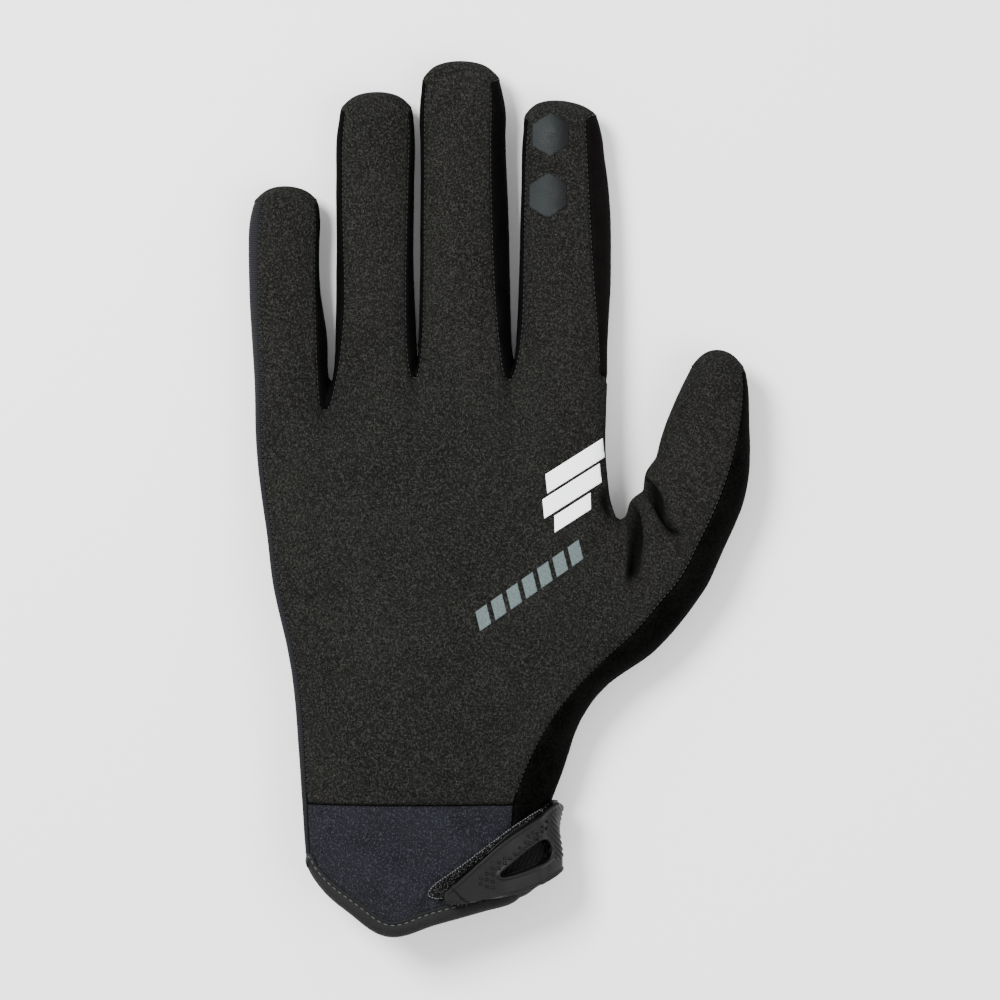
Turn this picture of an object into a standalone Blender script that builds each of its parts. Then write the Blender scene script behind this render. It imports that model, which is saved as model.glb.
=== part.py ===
# Motocross glove for the right hand, lying on its back with the palm up.
# Lengths are in millimetres and become metres where the meshes are made.
# X runs to the thumb, Y to the fingertips and Z out of the palm.
import math
from collections import namedtuple

import bmesh
import bpy
from mathutils import Vector
from mathutils.bvhtree import BVHTree

metre = 0.001

# Hand
palmWidth = 100.0      # across the knuckles
palmLength = 122.0     # cuff seam to the line of the finger roots
palmDepth = 24.0       # height of the palm over the surface it lies on
fingerDepth = 15.0
littleWidth = 20.0
littleLength = 53.5    # root line to fingertip
ringWidth = 22.0
ringLength = 79.9
middleWidth = 24.5
middleLength = 88.9
indexWidth = 25.0
indexLength = 77.6
thumbReach = 39.0      # web to the thumb's outermost side
thumbLength = 49.0     # web to thumb tip
thumbDepth = 18.0

# Cloth and cuff
clothWall = 1.6
seamGap = 0.3          # between neighbouring pieces
pressedUnder = 0.45    # cloth lower than this lies flat on the surface
cuffLength = 38.0      # cuff seam to the end of the cuff's point
bindingHeight = 3.7
bindingWall = 2.6

# Closure and prints
closureGap = 0.75      # strap over the cloth
strapWall = 0.9
tabGap = 0.5           # tab over the strap
tabWall = 1.7
printWall = 0.3
printGap = 0.3
hexagonHeight = 12.8
hexagonPitch = 17.0    # from one print's middle to the next

restGap = 1.3          # allowed under the tab where it wraps the raised back of the cuff

stackHeight = closureGap + strapWall + tabGap + tabWall
cuffLift = stackHeight + restGap

columns = 11           # strips of cloth across the palm
fitPasses = 3

# Section curves: powers, and shares of half the width or height
roundness = 2.6        # power of the finger's section
palmFullness = 2.4     # power of the palm's section, fuller as it rises
backFlatness = 8       # power of the hand's back, flatter as it rises
cuffFlatness = 4
backSpread = 0.72      # where the finger's back turns up to its sides
backFullness = 1.06
leastSeamRise = 0.42   # lowest place of a palm-side seam over the section's middle
sharpestCorner = 0.6   # limits how far a seam's corner is drawn in


# Palm rows from the cuff seam up. Each has its place along the left edge, the left edge, the left
# seam, then the right seam's place along and across and the right edge's place along and across:
# shares of the palm's length and width from the cuff seam and the middle line. Top is a share of
# the palm's depth, lift a share of the cuff's lift, seamRise the right seam's share of the row's
# height, and fingerShare how far the columns follow the fingers' roots.
PalmRow = namedtuple("PalmRow", "along edge seam seamAlong rightSeam edgeAlong rightEdge top lift "
                                "seamRise fingerShare")
palmRows = (
    PalmRow(0.000, -0.361, -0.347, 0.000, 0.233, 0.000, 0.350, 0.96, 0.70, 0.84, 0.0),
    PalmRow(0.135, -0.375, -0.355, 0.125, 0.289, 0.130, 0.395, 1.00, 0.10, 0.86, 0.0),
    PalmRow(0.251, -0.385, -0.366, 0.247, 0.386, 0.254, 0.483, 1.03, 0.00, 0.86, 0.0),
    PalmRow(0.368, -0.405, -0.388, 0.363, 0.523, 0.342, 0.608, 1.05, 0.00, 0.84, 0.0),
    PalmRow(0.473, -0.437, -0.420, 0.466, 0.642, 0.417, 0.707, 1.03, 0.00, 0.84, 0.0),
    PalmRow(0.566, -0.453, -0.439, 0.537, 0.594, 0.537, 0.594, 0.99, 0.00, 0.86, 0.1),
    PalmRow(0.659, -0.466, -0.452, 0.605, 0.543, 0.659, 0.520, 0.94, 0.00, 0.74, 0.3),
    PalmRow(0.810, -0.493, -0.477, 0.810, 0.477, 0.810, 0.496, 0.84, 0.00, 0.74, 0.6),
)
leftRise = 0.66        # height of the left seam, as a share of the row's own height
sideRise = 0.50
backInset = 0.05       # how far the back's seams sit in from the edges, in palm widths
backRise = 0.10

thumbRow = 4           # the thumb grows from this row
webRow = 6             # to this one

# Cuff mouth: across in palm widths, then how far the cloth reaches below the cuff seam in shares
# of the cuff's length, on the palm side and on the back.
mouth = (
    (-0.355, 0.35, 0.35),
    (-0.31, 0.54, 0.42),
    (-0.22, 0.71, 0.48),
    (-0.11, 0.92, 0.53),
    (-0.01, 0.81, 0.54),
    (0.15, 0.70, 0.54),
    (0.25, 0.63, 0.50),
    (0.31, 0.51, 0.46),
    (0.35, 0.42, 0.42),
)
cuffRows = (
    # share of the way to the mouth, left edge, left seam, right seam, right edge, top
    (0.50, -0.357, -0.343, 0.232, 0.333, 0.98),
    (1.00, -0.350, -0.337, 0.236, 0.340, 1.00),
)

# Finger sections in shares of the finger's own length and width, from its root's middle.
Section = namedtuple("Section", "along left right leftSeam rightSeam")
Finger = namedtuple("Finger", "name root width length depth tip sections")
fingers = (
    Finger("little", -0.398, littleWidth, littleLength, 0.88, -0.08, (
        Section(0.00, -0.50, 0.54, -0.41, 0.43),
        Section(0.19, -0.56, 0.55, -0.44, 0.38),
        Section(0.44, -0.60, 0.41, -0.45, 0.37),
        Section(0.71, -0.61, 0.40, -0.45, 0.37),
        Section(0.90, -0.53, 0.39, -0.38, 0.36),
    )),
    Finger("ring", -0.153, ringWidth, ringLength, 0.97, 0.00, (
        Section(0.00, -0.52, 0.53, -0.59, 0.44),
        Section(0.17, -0.54, 0.52, -0.41, 0.39),
        Section(0.44, -0.52, 0.48, -0.43, 0.40),
        Section(0.74, -0.52, 0.49, -0.45, 0.43),
        Section(0.93, -0.46, 0.45, -0.40, 0.42),
    )),
    Finger("middle", 0.099, middleWidth, middleLength, 1.00, -0.05, (
        Section(0.00, -0.50, 0.56, -0.54, 0.45),
        Section(0.20, -0.51, 0.54, -0.49, 0.36),
        Section(0.44, -0.50, 0.53, -0.49, 0.32),
        Section(0.73, -0.50, 0.48, -0.48, 0.30),
        Section(0.93, -0.49, 0.41, -0.46, 0.30),
    )),
    Finger("index", 0.378, indexWidth, indexLength, 1.00, -0.09, (
        Section(0.00, -0.52, 0.49, -0.56, 0.43),
        Section(0.18, -0.51, 0.51, -0.47, 0.38),
        Section(0.43, -0.48, 0.54, -0.46, 0.32),
        Section(0.73, -0.45, 0.49, -0.44, 0.27),
        Section(0.93, -0.43, 0.36, -0.40, 0.23),
    )),
)
fingerHeights = (
    # height and lift of each section in shares of the finger's depth
    (1.14, 0.00),
    (1.08, 0.00),
    (1.00, 0.00),
    (0.96, 0.02),
    (0.90, 0.12),
)
# How far each end of the finger roots lies below the root line, in palm lengths: the seam on the
# palm, the bottom of the gap, the seam on the back.
crotches = (
    (0.034, 0.034, 0.034),
    (0.073, 0.008, 0.030),
    (0.000, -0.040, -0.010),
    (0.004, -0.038, -0.010),
    (0.004, 0.022, 0.022),
)

# Thumb sections from the web: the web side and the outer side in shares of the thumb's reach and
# length, the seam's place between them, then top, lift and crease depth in thumb depths, and the
# crease's bow to the root in thumb lengths.
ThumbSection = namedtuple("ThumbSection", "webX webY outX outY seam top lift crease bow")
thumbSections = (
    ThumbSection(0.13, 0.10, 0.65, -0.41, 0.74, 1.24, 0.06, 0.13, 0.06),
    ThumbSection(0.19, 0.16, 0.75, -0.24, 0.73, 1.24, 0.09, 0.00, 0.03),
    ThumbSection(0.24, 0.22, 0.84, -0.09, 0.74, 1.17, 0.12, 0.14, 0.05),
    ThumbSection(0.28, 0.34, 0.95, 0.12, 0.74, 1.16, 0.15, 0.00, 0.00),
    ThumbSection(0.34, 0.52, 1.00, 0.42, 0.82, 1.12, 0.16, 0.00, 0.00),
    ThumbSection(0.44, 0.70, 0.99, 0.67, 0.90, 1.06, 0.18, 0.00, 0.00),
    ThumbSection(0.55, 0.87, 0.96, 0.86, 0.93, 0.96, 0.28, 0.00, 0.00),
)
thumbFrontSpread = (0.68, 0.36)       # places across the front, in shares of the seam's place
thumbBackSpread = (0.2, 0.5, 0.8)     # places across the back
thumbTip = (0.745, 1.0, 0.64)         # shares of the thumb's reach, length and depth

# Closure pieces, in pairs of the way across in palm widths and the distance below the cuff seam in
# cuff lengths. A station of the tab has its upper edge, the window's upper and lower side and its
# lower edge. A station of the strap has its upper edge, its middle and its lower edge.
tabStations = (
    ((0.043, 0.67), (0.037, 0.70), (0.037, 0.74), (0.050, 0.775)),
    ((0.097, 0.59), (0.111, 0.64), (0.116, 0.69), (0.122, 0.762)),
    ((0.139, 0.486), (0.159, 0.583), (0.165, 0.62), (0.173, 0.729)),
    ((0.173, 0.404), (0.193, 0.546), (0.196, 0.575), (0.216, 0.703)),
    ((0.210, 0.321), (0.236, 0.456), (0.244, 0.538), (0.259, 0.673)),
    ((0.250, 0.232), (0.272, 0.359), (0.283, 0.493), (0.290, 0.635)),
    ((0.290, 0.140), (0.306, 0.265), (0.325, 0.434), (0.325, 0.590)),
    ((0.330, 0.010), (0.345, 0.202), (0.350, 0.351), (0.350, 0.540)),
    ((0.385, -0.010), (0.385, 0.180), (0.385, 0.350), (0.385, 0.510)),
    ((0.420, -0.010), (0.420, 0.180), (0.420, 0.340), (0.420, 0.490)),
    ((0.455, -0.010), (0.455, 0.180), (0.455, 0.340), (0.455, 0.480)),
    ((0.490, -0.010), (0.490, 0.180), (0.490, 0.340), (0.490, 0.475)),
    ((0.530, 0.000), (0.530, 0.180), (0.530, 0.330), (0.530, 0.470)),
    ((0.600, 0.020), (0.600, 0.180), (0.600, 0.330), (0.600, 0.460)),
    ((0.680, 0.050), (0.690, 0.180), (0.690, 0.330), (0.680, 0.430)),
)
windowFirst = 3        # station at the window's pointed end
windowLast = 6         # station at its wide end
strapStations = (
    ((-0.002, 0.66), (-0.008, 0.71), (0.010, 0.745)),
    ((0.058, 0.54), (0.075, 0.62), (0.092, 0.700)),
    ((0.159, 0.336), (0.170, 0.50), (0.180, 0.640)),
    ((0.240, 0.164), (0.255, 0.38), (0.270, 0.550)),
    ((0.290, 0.075), (0.300, 0.28), (0.310, 0.460)),
    ((0.330, 0.025), (0.345, 0.22), (0.350, 0.390)),
    ((0.385, 0.010), (0.385, 0.20), (0.385, 0.380)),
    ((0.420, 0.010), (0.420, 0.20), (0.420, 0.380)),
    ((0.455, 0.010), (0.455, 0.20), (0.455, 0.380)),
    ((0.490, 0.010), (0.490, 0.20), (0.490, 0.390)),
    ((0.530, 0.020), (0.530, 0.21), (0.530, 0.400)),
    ((0.600, 0.040), (0.600, 0.22), (0.600, 0.410)),
    ((0.650, 0.070), (0.660, 0.23), (0.650, 0.390)),
)

bindingProfile = (
    # share of the binding's height, share of half its wall
    (0.00, 0.62),
    (0.25, 1.00),
    (0.75, 1.00),
    (1.00, 0.50),
    (1.00, -0.50),
    (0.75, -1.00),
    (0.25, -1.00),
    (0.00, -0.62),
)

# Index fingertip prints: across from the finger's root middle in finger widths, and how far the
# first one's middle lies below the fingertip in finger lengths.
hexagonAcross = -0.167
hexagonBelowTip = 0.138
hexagonCount = 2
hexagonRings = 4
hexagonSpokes = 12


class Cage:
    # Control net of the glove: named corners with the places the cloth passes through, and quads
    # sorted by panel.
    def __init__(self):
        self.index = {}
        self.places = []
        self.faces = []
        self.panels = []

    def corner(self, key, x, y, z):
        self.index[key] = len(self.places)
        self.places.append(Vector((x, y, z)))

    def place(self, key):
        return self.places[self.index[key]]

    def face(self, panel, *keys):
        self.faces.append([self.index[key] for key in keys])
        self.panels.append(panel)


def between(first, last, share):
    return first + (last - first) * share


def tableValue(rows, where, column):
    # Straight reading between the rows of a table whose first column rises.
    if where <= rows[0][0]:
        return rows[0][column]
    for low, high in zip(rows, rows[1:]):
        if where <= high[0]:
            return between(low[column], high[column], (where - low[0]) / (high[0] - low[0]))
    return rows[-1][column]


def crown(share):
    # Height of a rounded section over its middle at a share of its half width.
    inside = max(0.0, 1.0 - abs(share) ** roundness)
    return inside ** (1.0 / roundness)


def rootKey(side, column):
    # Corner of a finger's root ring at one end of a palm column.
    finger, place = divmod(column, 3)
    return ("finger", finger, 0, place if side == "palm" else 6 - place)


def palmKey(side, row, column):
    if row == len(palmRows):
        return rootKey(side, column)
    return (side, row, column)


def edgeKey(row, side):
    if row == len(palmRows):
        return ("finger", 0, 0, 7) if side == "left" else ("finger", 3, 0, 3)
    return ("edge", row, side)


def addFingers(cage):
    # Rings of eight: three on the palm side, one at the edge, three on the back, one at the edge.
    rootLine = palmLength
    for number, finger in enumerate(fingers):
        middle = finger.root * palmWidth
        depth = finger.depth * fingerDepth
        for level, section in enumerate(finger.sections):
            height, lift = fingerHeights[level]
            top = height * depth
            low = lift * depth
            centre = (top + low) / 2
            half = (top - low) / 2
            left = section.left * finger.width
            right = section.right * finger.width
            axis = (left + right) / 2
            halfWidth = (right - left) / 2
            leftSeam = section.leftSeam * finger.width
            rightSeam = section.rightSeam * finger.width
            ys = [rootLine + section.along * finger.length] * 8
            if level == 0:
                a = crotches[number]
                b = crotches[number + 1]
                drops = (a[0], (a[0] + b[0]) / 2, b[0], b[1], b[2], (a[2] + b[2]) / 2, a[2], a[1])
                ys = [rootLine - drop * palmLength for drop in drops]
            xs = (leftSeam, (leftSeam + rightSeam) / 2, rightSeam, right,
                  axis + backSpread * halfWidth, axis, axis - backSpread * halfWidth, left)
            for place, x in enumerate(xs):
                share = min(1.0, abs(x - axis) / halfWidth)
                z = centre
                if place < 3:
                    z = centre + half * max(leastSeamRise, crown(share))
                elif 3 < place < 7:
                    z = centre - half * min(1.0, crown(share) * backFullness)
                cage.corner(("finger", number, level, place), middle + x, ys[place], z)
        tipY = rootLine + finger.length
        cage.corner(("finger tip", number), middle + finger.tip * finger.width, tipY, centre)


def addPalm(cage):
    for row, values in enumerate(palmRows):
        top = values.top * palmDepth
        low = values.lift * cuffLift
        for column in range(columns + 1):
            even = column / columns
            root = cage.place(rootKey("palm", column)).x
            first = cage.place(rootKey("palm", 0)).x
            last = cage.place(rootKey("palm", columns)).x
            share = between(even, (root - first) / (last - first), values.fingerShare)
            x = between(values.seam, values.rightSeam, share) * palmWidth
            y = between(values.along, values.seamAlong, share) * palmLength
            bulge = 1.0 - abs(2.0 * share - 1.0) ** palmFullness
            rise = between(leftRise, values.seamRise, share)
            z = low + (top - low) * between(rise, 1.0, bulge)
            cage.corner(("palm", row, column), x, y, z)
            backLeft = (values.edge + backInset) * palmWidth
            backRight = (values.rightEdge - backInset) * palmWidth
            backX = between(backLeft, backRight, share)
            backY = between(values.along, values.edgeAlong, share) * palmLength
            if thumbRow <= row <= webRow:
                backX = between(backLeft, values.rightSeam * palmWidth, share)
                backY = y
            backZ = low + (top - low) * backRise * abs(2.0 * share - 1.0) ** backFlatness
            cage.corner(("back", row, column), backX, backY, backZ)
        side = low + (top - low) * sideRise
        cage.corner(("edge", row, "left"), values.edge * palmWidth, values.along * palmLength, side)
        if row != thumbRow + 1:
            cage.corner(("edge", row, "right"), values.rightEdge * palmWidth,
                        values.edgeAlong * palmLength, side)


def addCuff(cage):
    for number, (reach, leftEdge, leftSeam, rightSeam, rightEdge, height) in enumerate(cuffRows):
        row = -1 - number
        top = height * palmDepth
        low = cuffLift
        for column in range(columns + 1):
            share = column / columns
            across = between(leftSeam, rightSeam, share)
            y = -tableValue(mouth, across, 1) * reach * cuffLength
            bulge = 1.0 - abs(2.0 * share - 1.0) ** palmFullness
            rise = between(leftRise, palmRows[0].seamRise, share)
            z = low + (top - low) * between(rise, 1.0, bulge)
            cage.corner(("palm", row, column), across * palmWidth, y, z)
            backAcross = between(leftEdge + backInset, rightEdge - backInset, share)
            backY = -tableValue(mouth, backAcross, 2) * reach * cuffLength
            backZ = low + (top - low) * backRise * abs(2.0 * share - 1.0) ** cuffFlatness
            cage.corner(("back", row, column), backAcross * palmWidth, backY, backZ)
        side = low + (top - low) * sideRise
        for name, edge in (("left", leftEdge), ("right", rightEdge)):
            y = -tableValue(mouth, edge, 1) * reach * cuffLength
            cage.corner(("edge", row, name), edge * palmWidth, y, side)


def thumbRoot():
    # The ring that the thumb grows from, in the order of the thumb's own rings.
    a = thumbRow
    c = columns
    return (("edge", a, "right"), ("palm", a, c), ("palm", a + 1, c), ("palm", a + 2, c),
            ("edge", webRow, "right"), ("back", a + 2, c), ("back", a + 1, c), ("back", a, c))


def addThumb(cage):
    web = cage.place(("edge", webRow, "right"))
    size = Vector((thumbReach, thumbLength))
    for level, section in enumerate(thumbSections):
        inner = Vector((section.webX, section.webY)) * size + web.xy
        outer = Vector((section.outX, section.outY)) * size + web.xy
        toOuter = outer - inner
        toRoot = Vector((toOuter.y, -toOuter.x)).normalized()
        top = section.top * thumbDepth
        low = section.lift * thumbDepth
        centre = (top + low) / 2
        half = (top - low) / 2
        front = [section.seam * spread for spread in thumbFrontSpread]
        shares = (1.0, section.seam, *front, 0.0, *thumbBackSpread)
        for place, share in enumerate(shares):
            spot = inner + toOuter * share
            rise = crown(2.0 * share - 1.0)
            z = centre
            if 1 <= place <= 3:
                z = centre + half * max(leastSeamRise, rise)
            if place > 4:
                z = centre - half * rise
            if place in (2, 3):
                spot = spot + toRoot * section.bow * thumbLength
                z = z - section.crease * thumbDepth
            cage.corner(("thumb", level, place), spot.x, spot.y, z)
    x, y, z = thumbTip
    cage.corner("thumb tip", web.x + x * thumbReach, web.y + y * thumbLength, z * thumbDepth)


def joinPalm(cage):
    rows = range(-len(cuffRows), len(palmRows))
    for row in rows:
        up = row + 1
        inCuff = row < 0
        for column in range(columns):
            corners = ((row, column), (row, column + 1), (up, column + 1), (up, column))
            front = [palmKey("palm", r, c) for r, c in corners]
            back = [palmKey("back", r, c) for r, c in reversed(corners)]
            cage.face("cuff_palm_panel" if inCuff else "palm_panel", *front)
            cage.face("cuff_back_panel" if inCuff else "back_panel", *back)
        left = "little_side_panel"
        cage.face(left, palmKey("palm", up, 0), edgeKey(up, "left"), edgeKey(row, "left"),
                  palmKey("palm", row, 0))
        cage.face(left, edgeKey(up, "left"), palmKey("back", up, 0), palmKey("back", row, 0),
                  edgeKey(row, "left"))
        if thumbRow <= row < webRow:
            continue
        upper = "thumb_side_panel"
        lower = "thumb_side_panel"
        if row >= webRow:
            upper = "palm_panel"
            lower = "index_side_panel" if up == len(palmRows) else "palm_panel"
        cage.face(upper, palmKey("palm", row, columns), edgeKey(row, "right"),
                  edgeKey(up, "right"), palmKey("palm", up, columns))
        cage.face(lower, edgeKey(row, "right"), palmKey("back", row, columns),
                  palmKey("back", up, columns), edgeKey(up, "right"))


def joinFingers(cage):
    sides = ("little_side_panel", "fourchette_little_ring", "fourchette_ring_middle",
             "fourchette_middle_index", "index_side_panel")
    for number, finger in enumerate(fingers):
        left = sides[number]
        right = sides[number + 1]
        strips = ("palm_panel", "palm_panel", right, right, "back_panel", "back_panel", left, left)
        for level in range(len(finger.sections) - 1):
            for place, panel in enumerate(strips):
                after = (place + 1) % 8
                cage.face(panel, ("finger", number, level, place), ("finger", number, level, after),
                          ("finger", number, level + 1, after), ("finger", number, level + 1, place))
        level = len(finger.sections) - 1
        tip = ("finger tip", number)
        for panel, places in (("palm_panel", (7, 0, 1)), ("palm_panel", (1, 2, 3)),
                              ("back_panel", (3, 4, 5)), ("back_panel", (5, 6, 7))):
            cage.face(panel, *(("finger", number, level, place) for place in places), tip)
    for number in range(3):
        web = sides[number + 1]
        a = ("finger", number, 0)
        b = ("finger", number + 1, 0)
        cage.face(web, (*a, 2), (*b, 0), (*b, 7), (*a, 3))
        cage.face(web, (*a, 3), (*b, 7), (*b, 6), (*a, 4))


def joinThumb(cage):
    rings = [thumbRoot()]
    for level in range(len(thumbSections)):
        rings.append(tuple(("thumb", level, place) for place in range(8)))
    side = "thumb_side_panel"
    strips = (side, "palm_panel", "palm_panel", "palm_panel", "palm_panel", side, side, side)
    for near, far in zip(rings, rings[1:]):
        for place, panel in enumerate(strips):
            after = (place + 1) % 8
            cage.face(panel, near[after], near[place], far[place], far[after])
    last = rings[-1]
    for panel, places in (("palm_panel", (2, 1, 0)), ("palm_panel", (4, 3, 2)),
                          (side, (6, 5, 4)), (side, (0, 7, 6))):
        cage.face(panel, *(last[place] for place in places), "thumb tip")


def netObject(points, faces):
    mesh = bpy.data.meshes.new("net")
    mesh.from_pydata([tuple(point) for point in points], [], faces)
    mesh.update()
    net = bpy.data.objects.new("net", mesh)
    bpy.context.scene.collection.objects.link(net)
    smooth = net.modifiers.new("smooth", "SUBSURF")
    smooth.levels = 1
    smooth.render_levels = 1
    return net


def smoothed(net):
    # Points and faces of the net after its subdivision. The net's own corners come first.
    bpy.context.view_layer.update()
    result = net.evaluated_get(bpy.context.evaluated_depsgraph_get())
    mesh = result.to_mesh()
    points = [vertex.co.copy() for vertex in mesh.vertices]
    faces = [tuple(face.vertices) for face in mesh.polygons]
    result.to_mesh_clear()
    return points, faces


def dropNet(net):
    mesh = net.data
    bpy.data.objects.remove(net)
    bpy.data.meshes.remove(mesh)


def fittedSkin(cage):
    # Moves the net's corners until the smooth cloth passes through the cage's places.
    net = netObject(cage.places, cage.faces)
    for _ in range(fitPasses):
        points, _faces = smoothed(net)
        for vertex, wanted, point in zip(net.data.vertices, cage.places, points):
            vertex.co += wanted - point
    points, faces = smoothed(net)
    dropNet(net)
    for point in points:
        if point.z < pressedUnder:
            point.z = 0.0
    # Each quad of the net gives four faces, one after another.
    panels = [cage.panels[number // 4] for number in range(len(faces))]
    return points, faces, panels


def outwardNormals(points, faces):
    normals = [Vector() for _ in points]
    for face in faces:
        a, b, c, d = (points[i] for i in face)
        area = (c - a).cross(d - b)
        for i in face:
            normals[i] += area
    return [normal.normalized() for normal in normals]


def rimEdges(faces):
    # Edges that belong to one face only, each with that face's number.
    owners = {}
    for number, face in enumerate(faces):
        for a, b in zip(face, face[1:] + face[:1]):
            owners.setdefault(frozenset((a, b)), []).append((a, b, number))
    return [uses[0] for uses in owners.values() if len(uses) == 1]


def drawnIn(points, faces, distance):
    # Moves the rim of a panel into the panel, so that a gap is left along the seam.
    pulls = {}
    for a, b, number in rimEdges(faces):
        face = faces[number]
        along = (points[b] - points[a]).normalized()
        centre = sum((points[i] for i in face), Vector()) / len(face)
        inward = centre - points[a]
        inward = (inward - along * inward.dot(along)).normalized()
        pulls.setdefault(a, []).append(inward)
        pulls.setdefault(b, []).append(inward)
    moved = {}
    for i, pair in pulls.items():
        total = sum(pair, Vector())
        moved[i] = total * distance / max(sharpestCorner, 1.0 + pair[0].dot(pair[-1]))
    return moved


def makeMaterial(name, colour, roughness, metallic=0.0):
    material = bpy.data.materials.new(name)
    material.use_nodes = True
    shader = material.node_tree.nodes["Principled BSDF"]
    shader.inputs["Base Color"].default_value = (*colour, 1.0)
    shader.inputs["Roughness"].default_value = roughness
    shader.inputs["Metallic"].default_value = metallic
    material.diffuse_color = (*colour, 1.0)
    return material


def closedPiece(collection, name, faces, outer, inner, look):
    # Closed solid between an outer and an inner skin that share the same faces.
    used = sorted({i for face in faces for i in face})
    place = {i: number for number, i in enumerate(used)}
    count = len(used)
    points = [tuple(outer[i] * metre) for i in used] + [tuple(inner[i] * metre) for i in used]
    solid = [tuple(place[i] for i in face) for face in faces]
    solid += [tuple(place[i] + count for i in reversed(face)) for face in faces]
    for a, b, _number in rimEdges(faces):
        solid.append((place[b], place[a], place[a] + count, place[b] + count))
    mesh = bpy.data.meshes.new(name)
    mesh.from_pydata(points, [], solid)
    shape = bmesh.new()
    shape.from_mesh(mesh)
    bmesh.ops.recalc_face_normals(shape, faces=shape.faces)
    shape.to_mesh(mesh)
    shape.free()
    piece = bpy.data.objects.new(name, mesh)
    colour, roughness = look
    mesh.materials.append(makeMaterial(name, colour, roughness))
    collection.objects.link(piece)
    return piece


looks = {
    "palm_panel": ((0.024, 0.022, 0.019), 0.95),
    "fourchette_little_ring": ((0.003, 0.003, 0.004), 0.80),
    "fourchette_ring_middle": ((0.003, 0.003, 0.004), 0.80),
    "fourchette_middle_index": ((0.003, 0.003, 0.004), 0.80),
    "little_side_panel": ((0.011, 0.012, 0.020), 0.85),
    "index_side_panel": ((0.003, 0.003, 0.004), 0.80),
    "thumb_side_panel": ((0.005, 0.005, 0.006), 0.90),
    "back_panel": ((0.006, 0.006, 0.008), 0.85),
    "cuff_palm_panel": ((0.010, 0.011, 0.017), 0.90),
    "cuff_back_panel": ((0.008, 0.008, 0.011), 0.90),
    "cuff_binding": ((0.006, 0.006, 0.007), 0.75),
    "closure_strap": ((0.004, 0.004, 0.004), 0.95),
    "closure_tab": ((0.027, 0.028, 0.027), 0.45),
    "grip_hexagon": ((0.033, 0.040, 0.045), 0.40),
}


def addPanels(collection, points, faces, panels, normals):
    inner = [point - normal * clothWall for point, normal in zip(points, normals)]
    for name in dict.fromkeys(panels):
        own = [face for face, panel in zip(faces, panels) if panel == name]
        moved = drawnIn(points, own, seamGap / 2)
        outerSkin = list(points)
        innerSkin = list(inner)
        for i, shift in moved.items():
            outerSkin[i] = points[i] + shift
            innerSkin[i] = inner[i] + shift
        closedPiece(collection, name, own, outerSkin, innerSkin, looks[name])


def addBinding(collection, points, faces, normals):
    # Rolled binding that carries the cuff's edge on past the cloth, all round the mouth.
    rim = rimEdges(faces)
    after = {a: b for a, b, _number in rim}
    start = rim[0][0]
    loop = [start]
    while after[loop[-1]] != start:
        loop.append(after[loop[-1]])
    near = {}
    for a, b, number in rim:
        face = faces[number]
        turn = face.index(a)
        near.setdefault(a, face[turn - 1])
    rings = []
    for i in loop:
        normal = normals[i]
        down = points[i] - points[near[i]]
        down = (down - normal * down.dot(normal)).normalized()
        seat = points[i] - normal * clothWall / 2 + down * seamGap / 2
        rings.append([seat + down * height * bindingHeight + normal * side * bindingWall / 2
                      for height, side in bindingProfile])
    shape = bmesh.new()
    corners = [[shape.verts.new(point * metre) for point in ring] for ring in rings]
    count = len(bindingProfile)
    for one, two in zip(corners, corners[1:] + corners[:1]):
        for k in range(count):
            shape.faces.new((one[k], one[(k + 1) % count], two[(k + 1) % count], two[k]))
    bmesh.ops.recalc_face_normals(shape, faces=shape.faces)
    mesh = bpy.data.meshes.new("cuff_binding")
    shape.to_mesh(mesh)
    shape.free()
    colour, roughness = looks["cuff_binding"]
    mesh.materials.append(makeMaterial("cuff_binding", colour, roughness))
    collection.objects.link(bpy.data.objects.new("cuff_binding", mesh))


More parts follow.
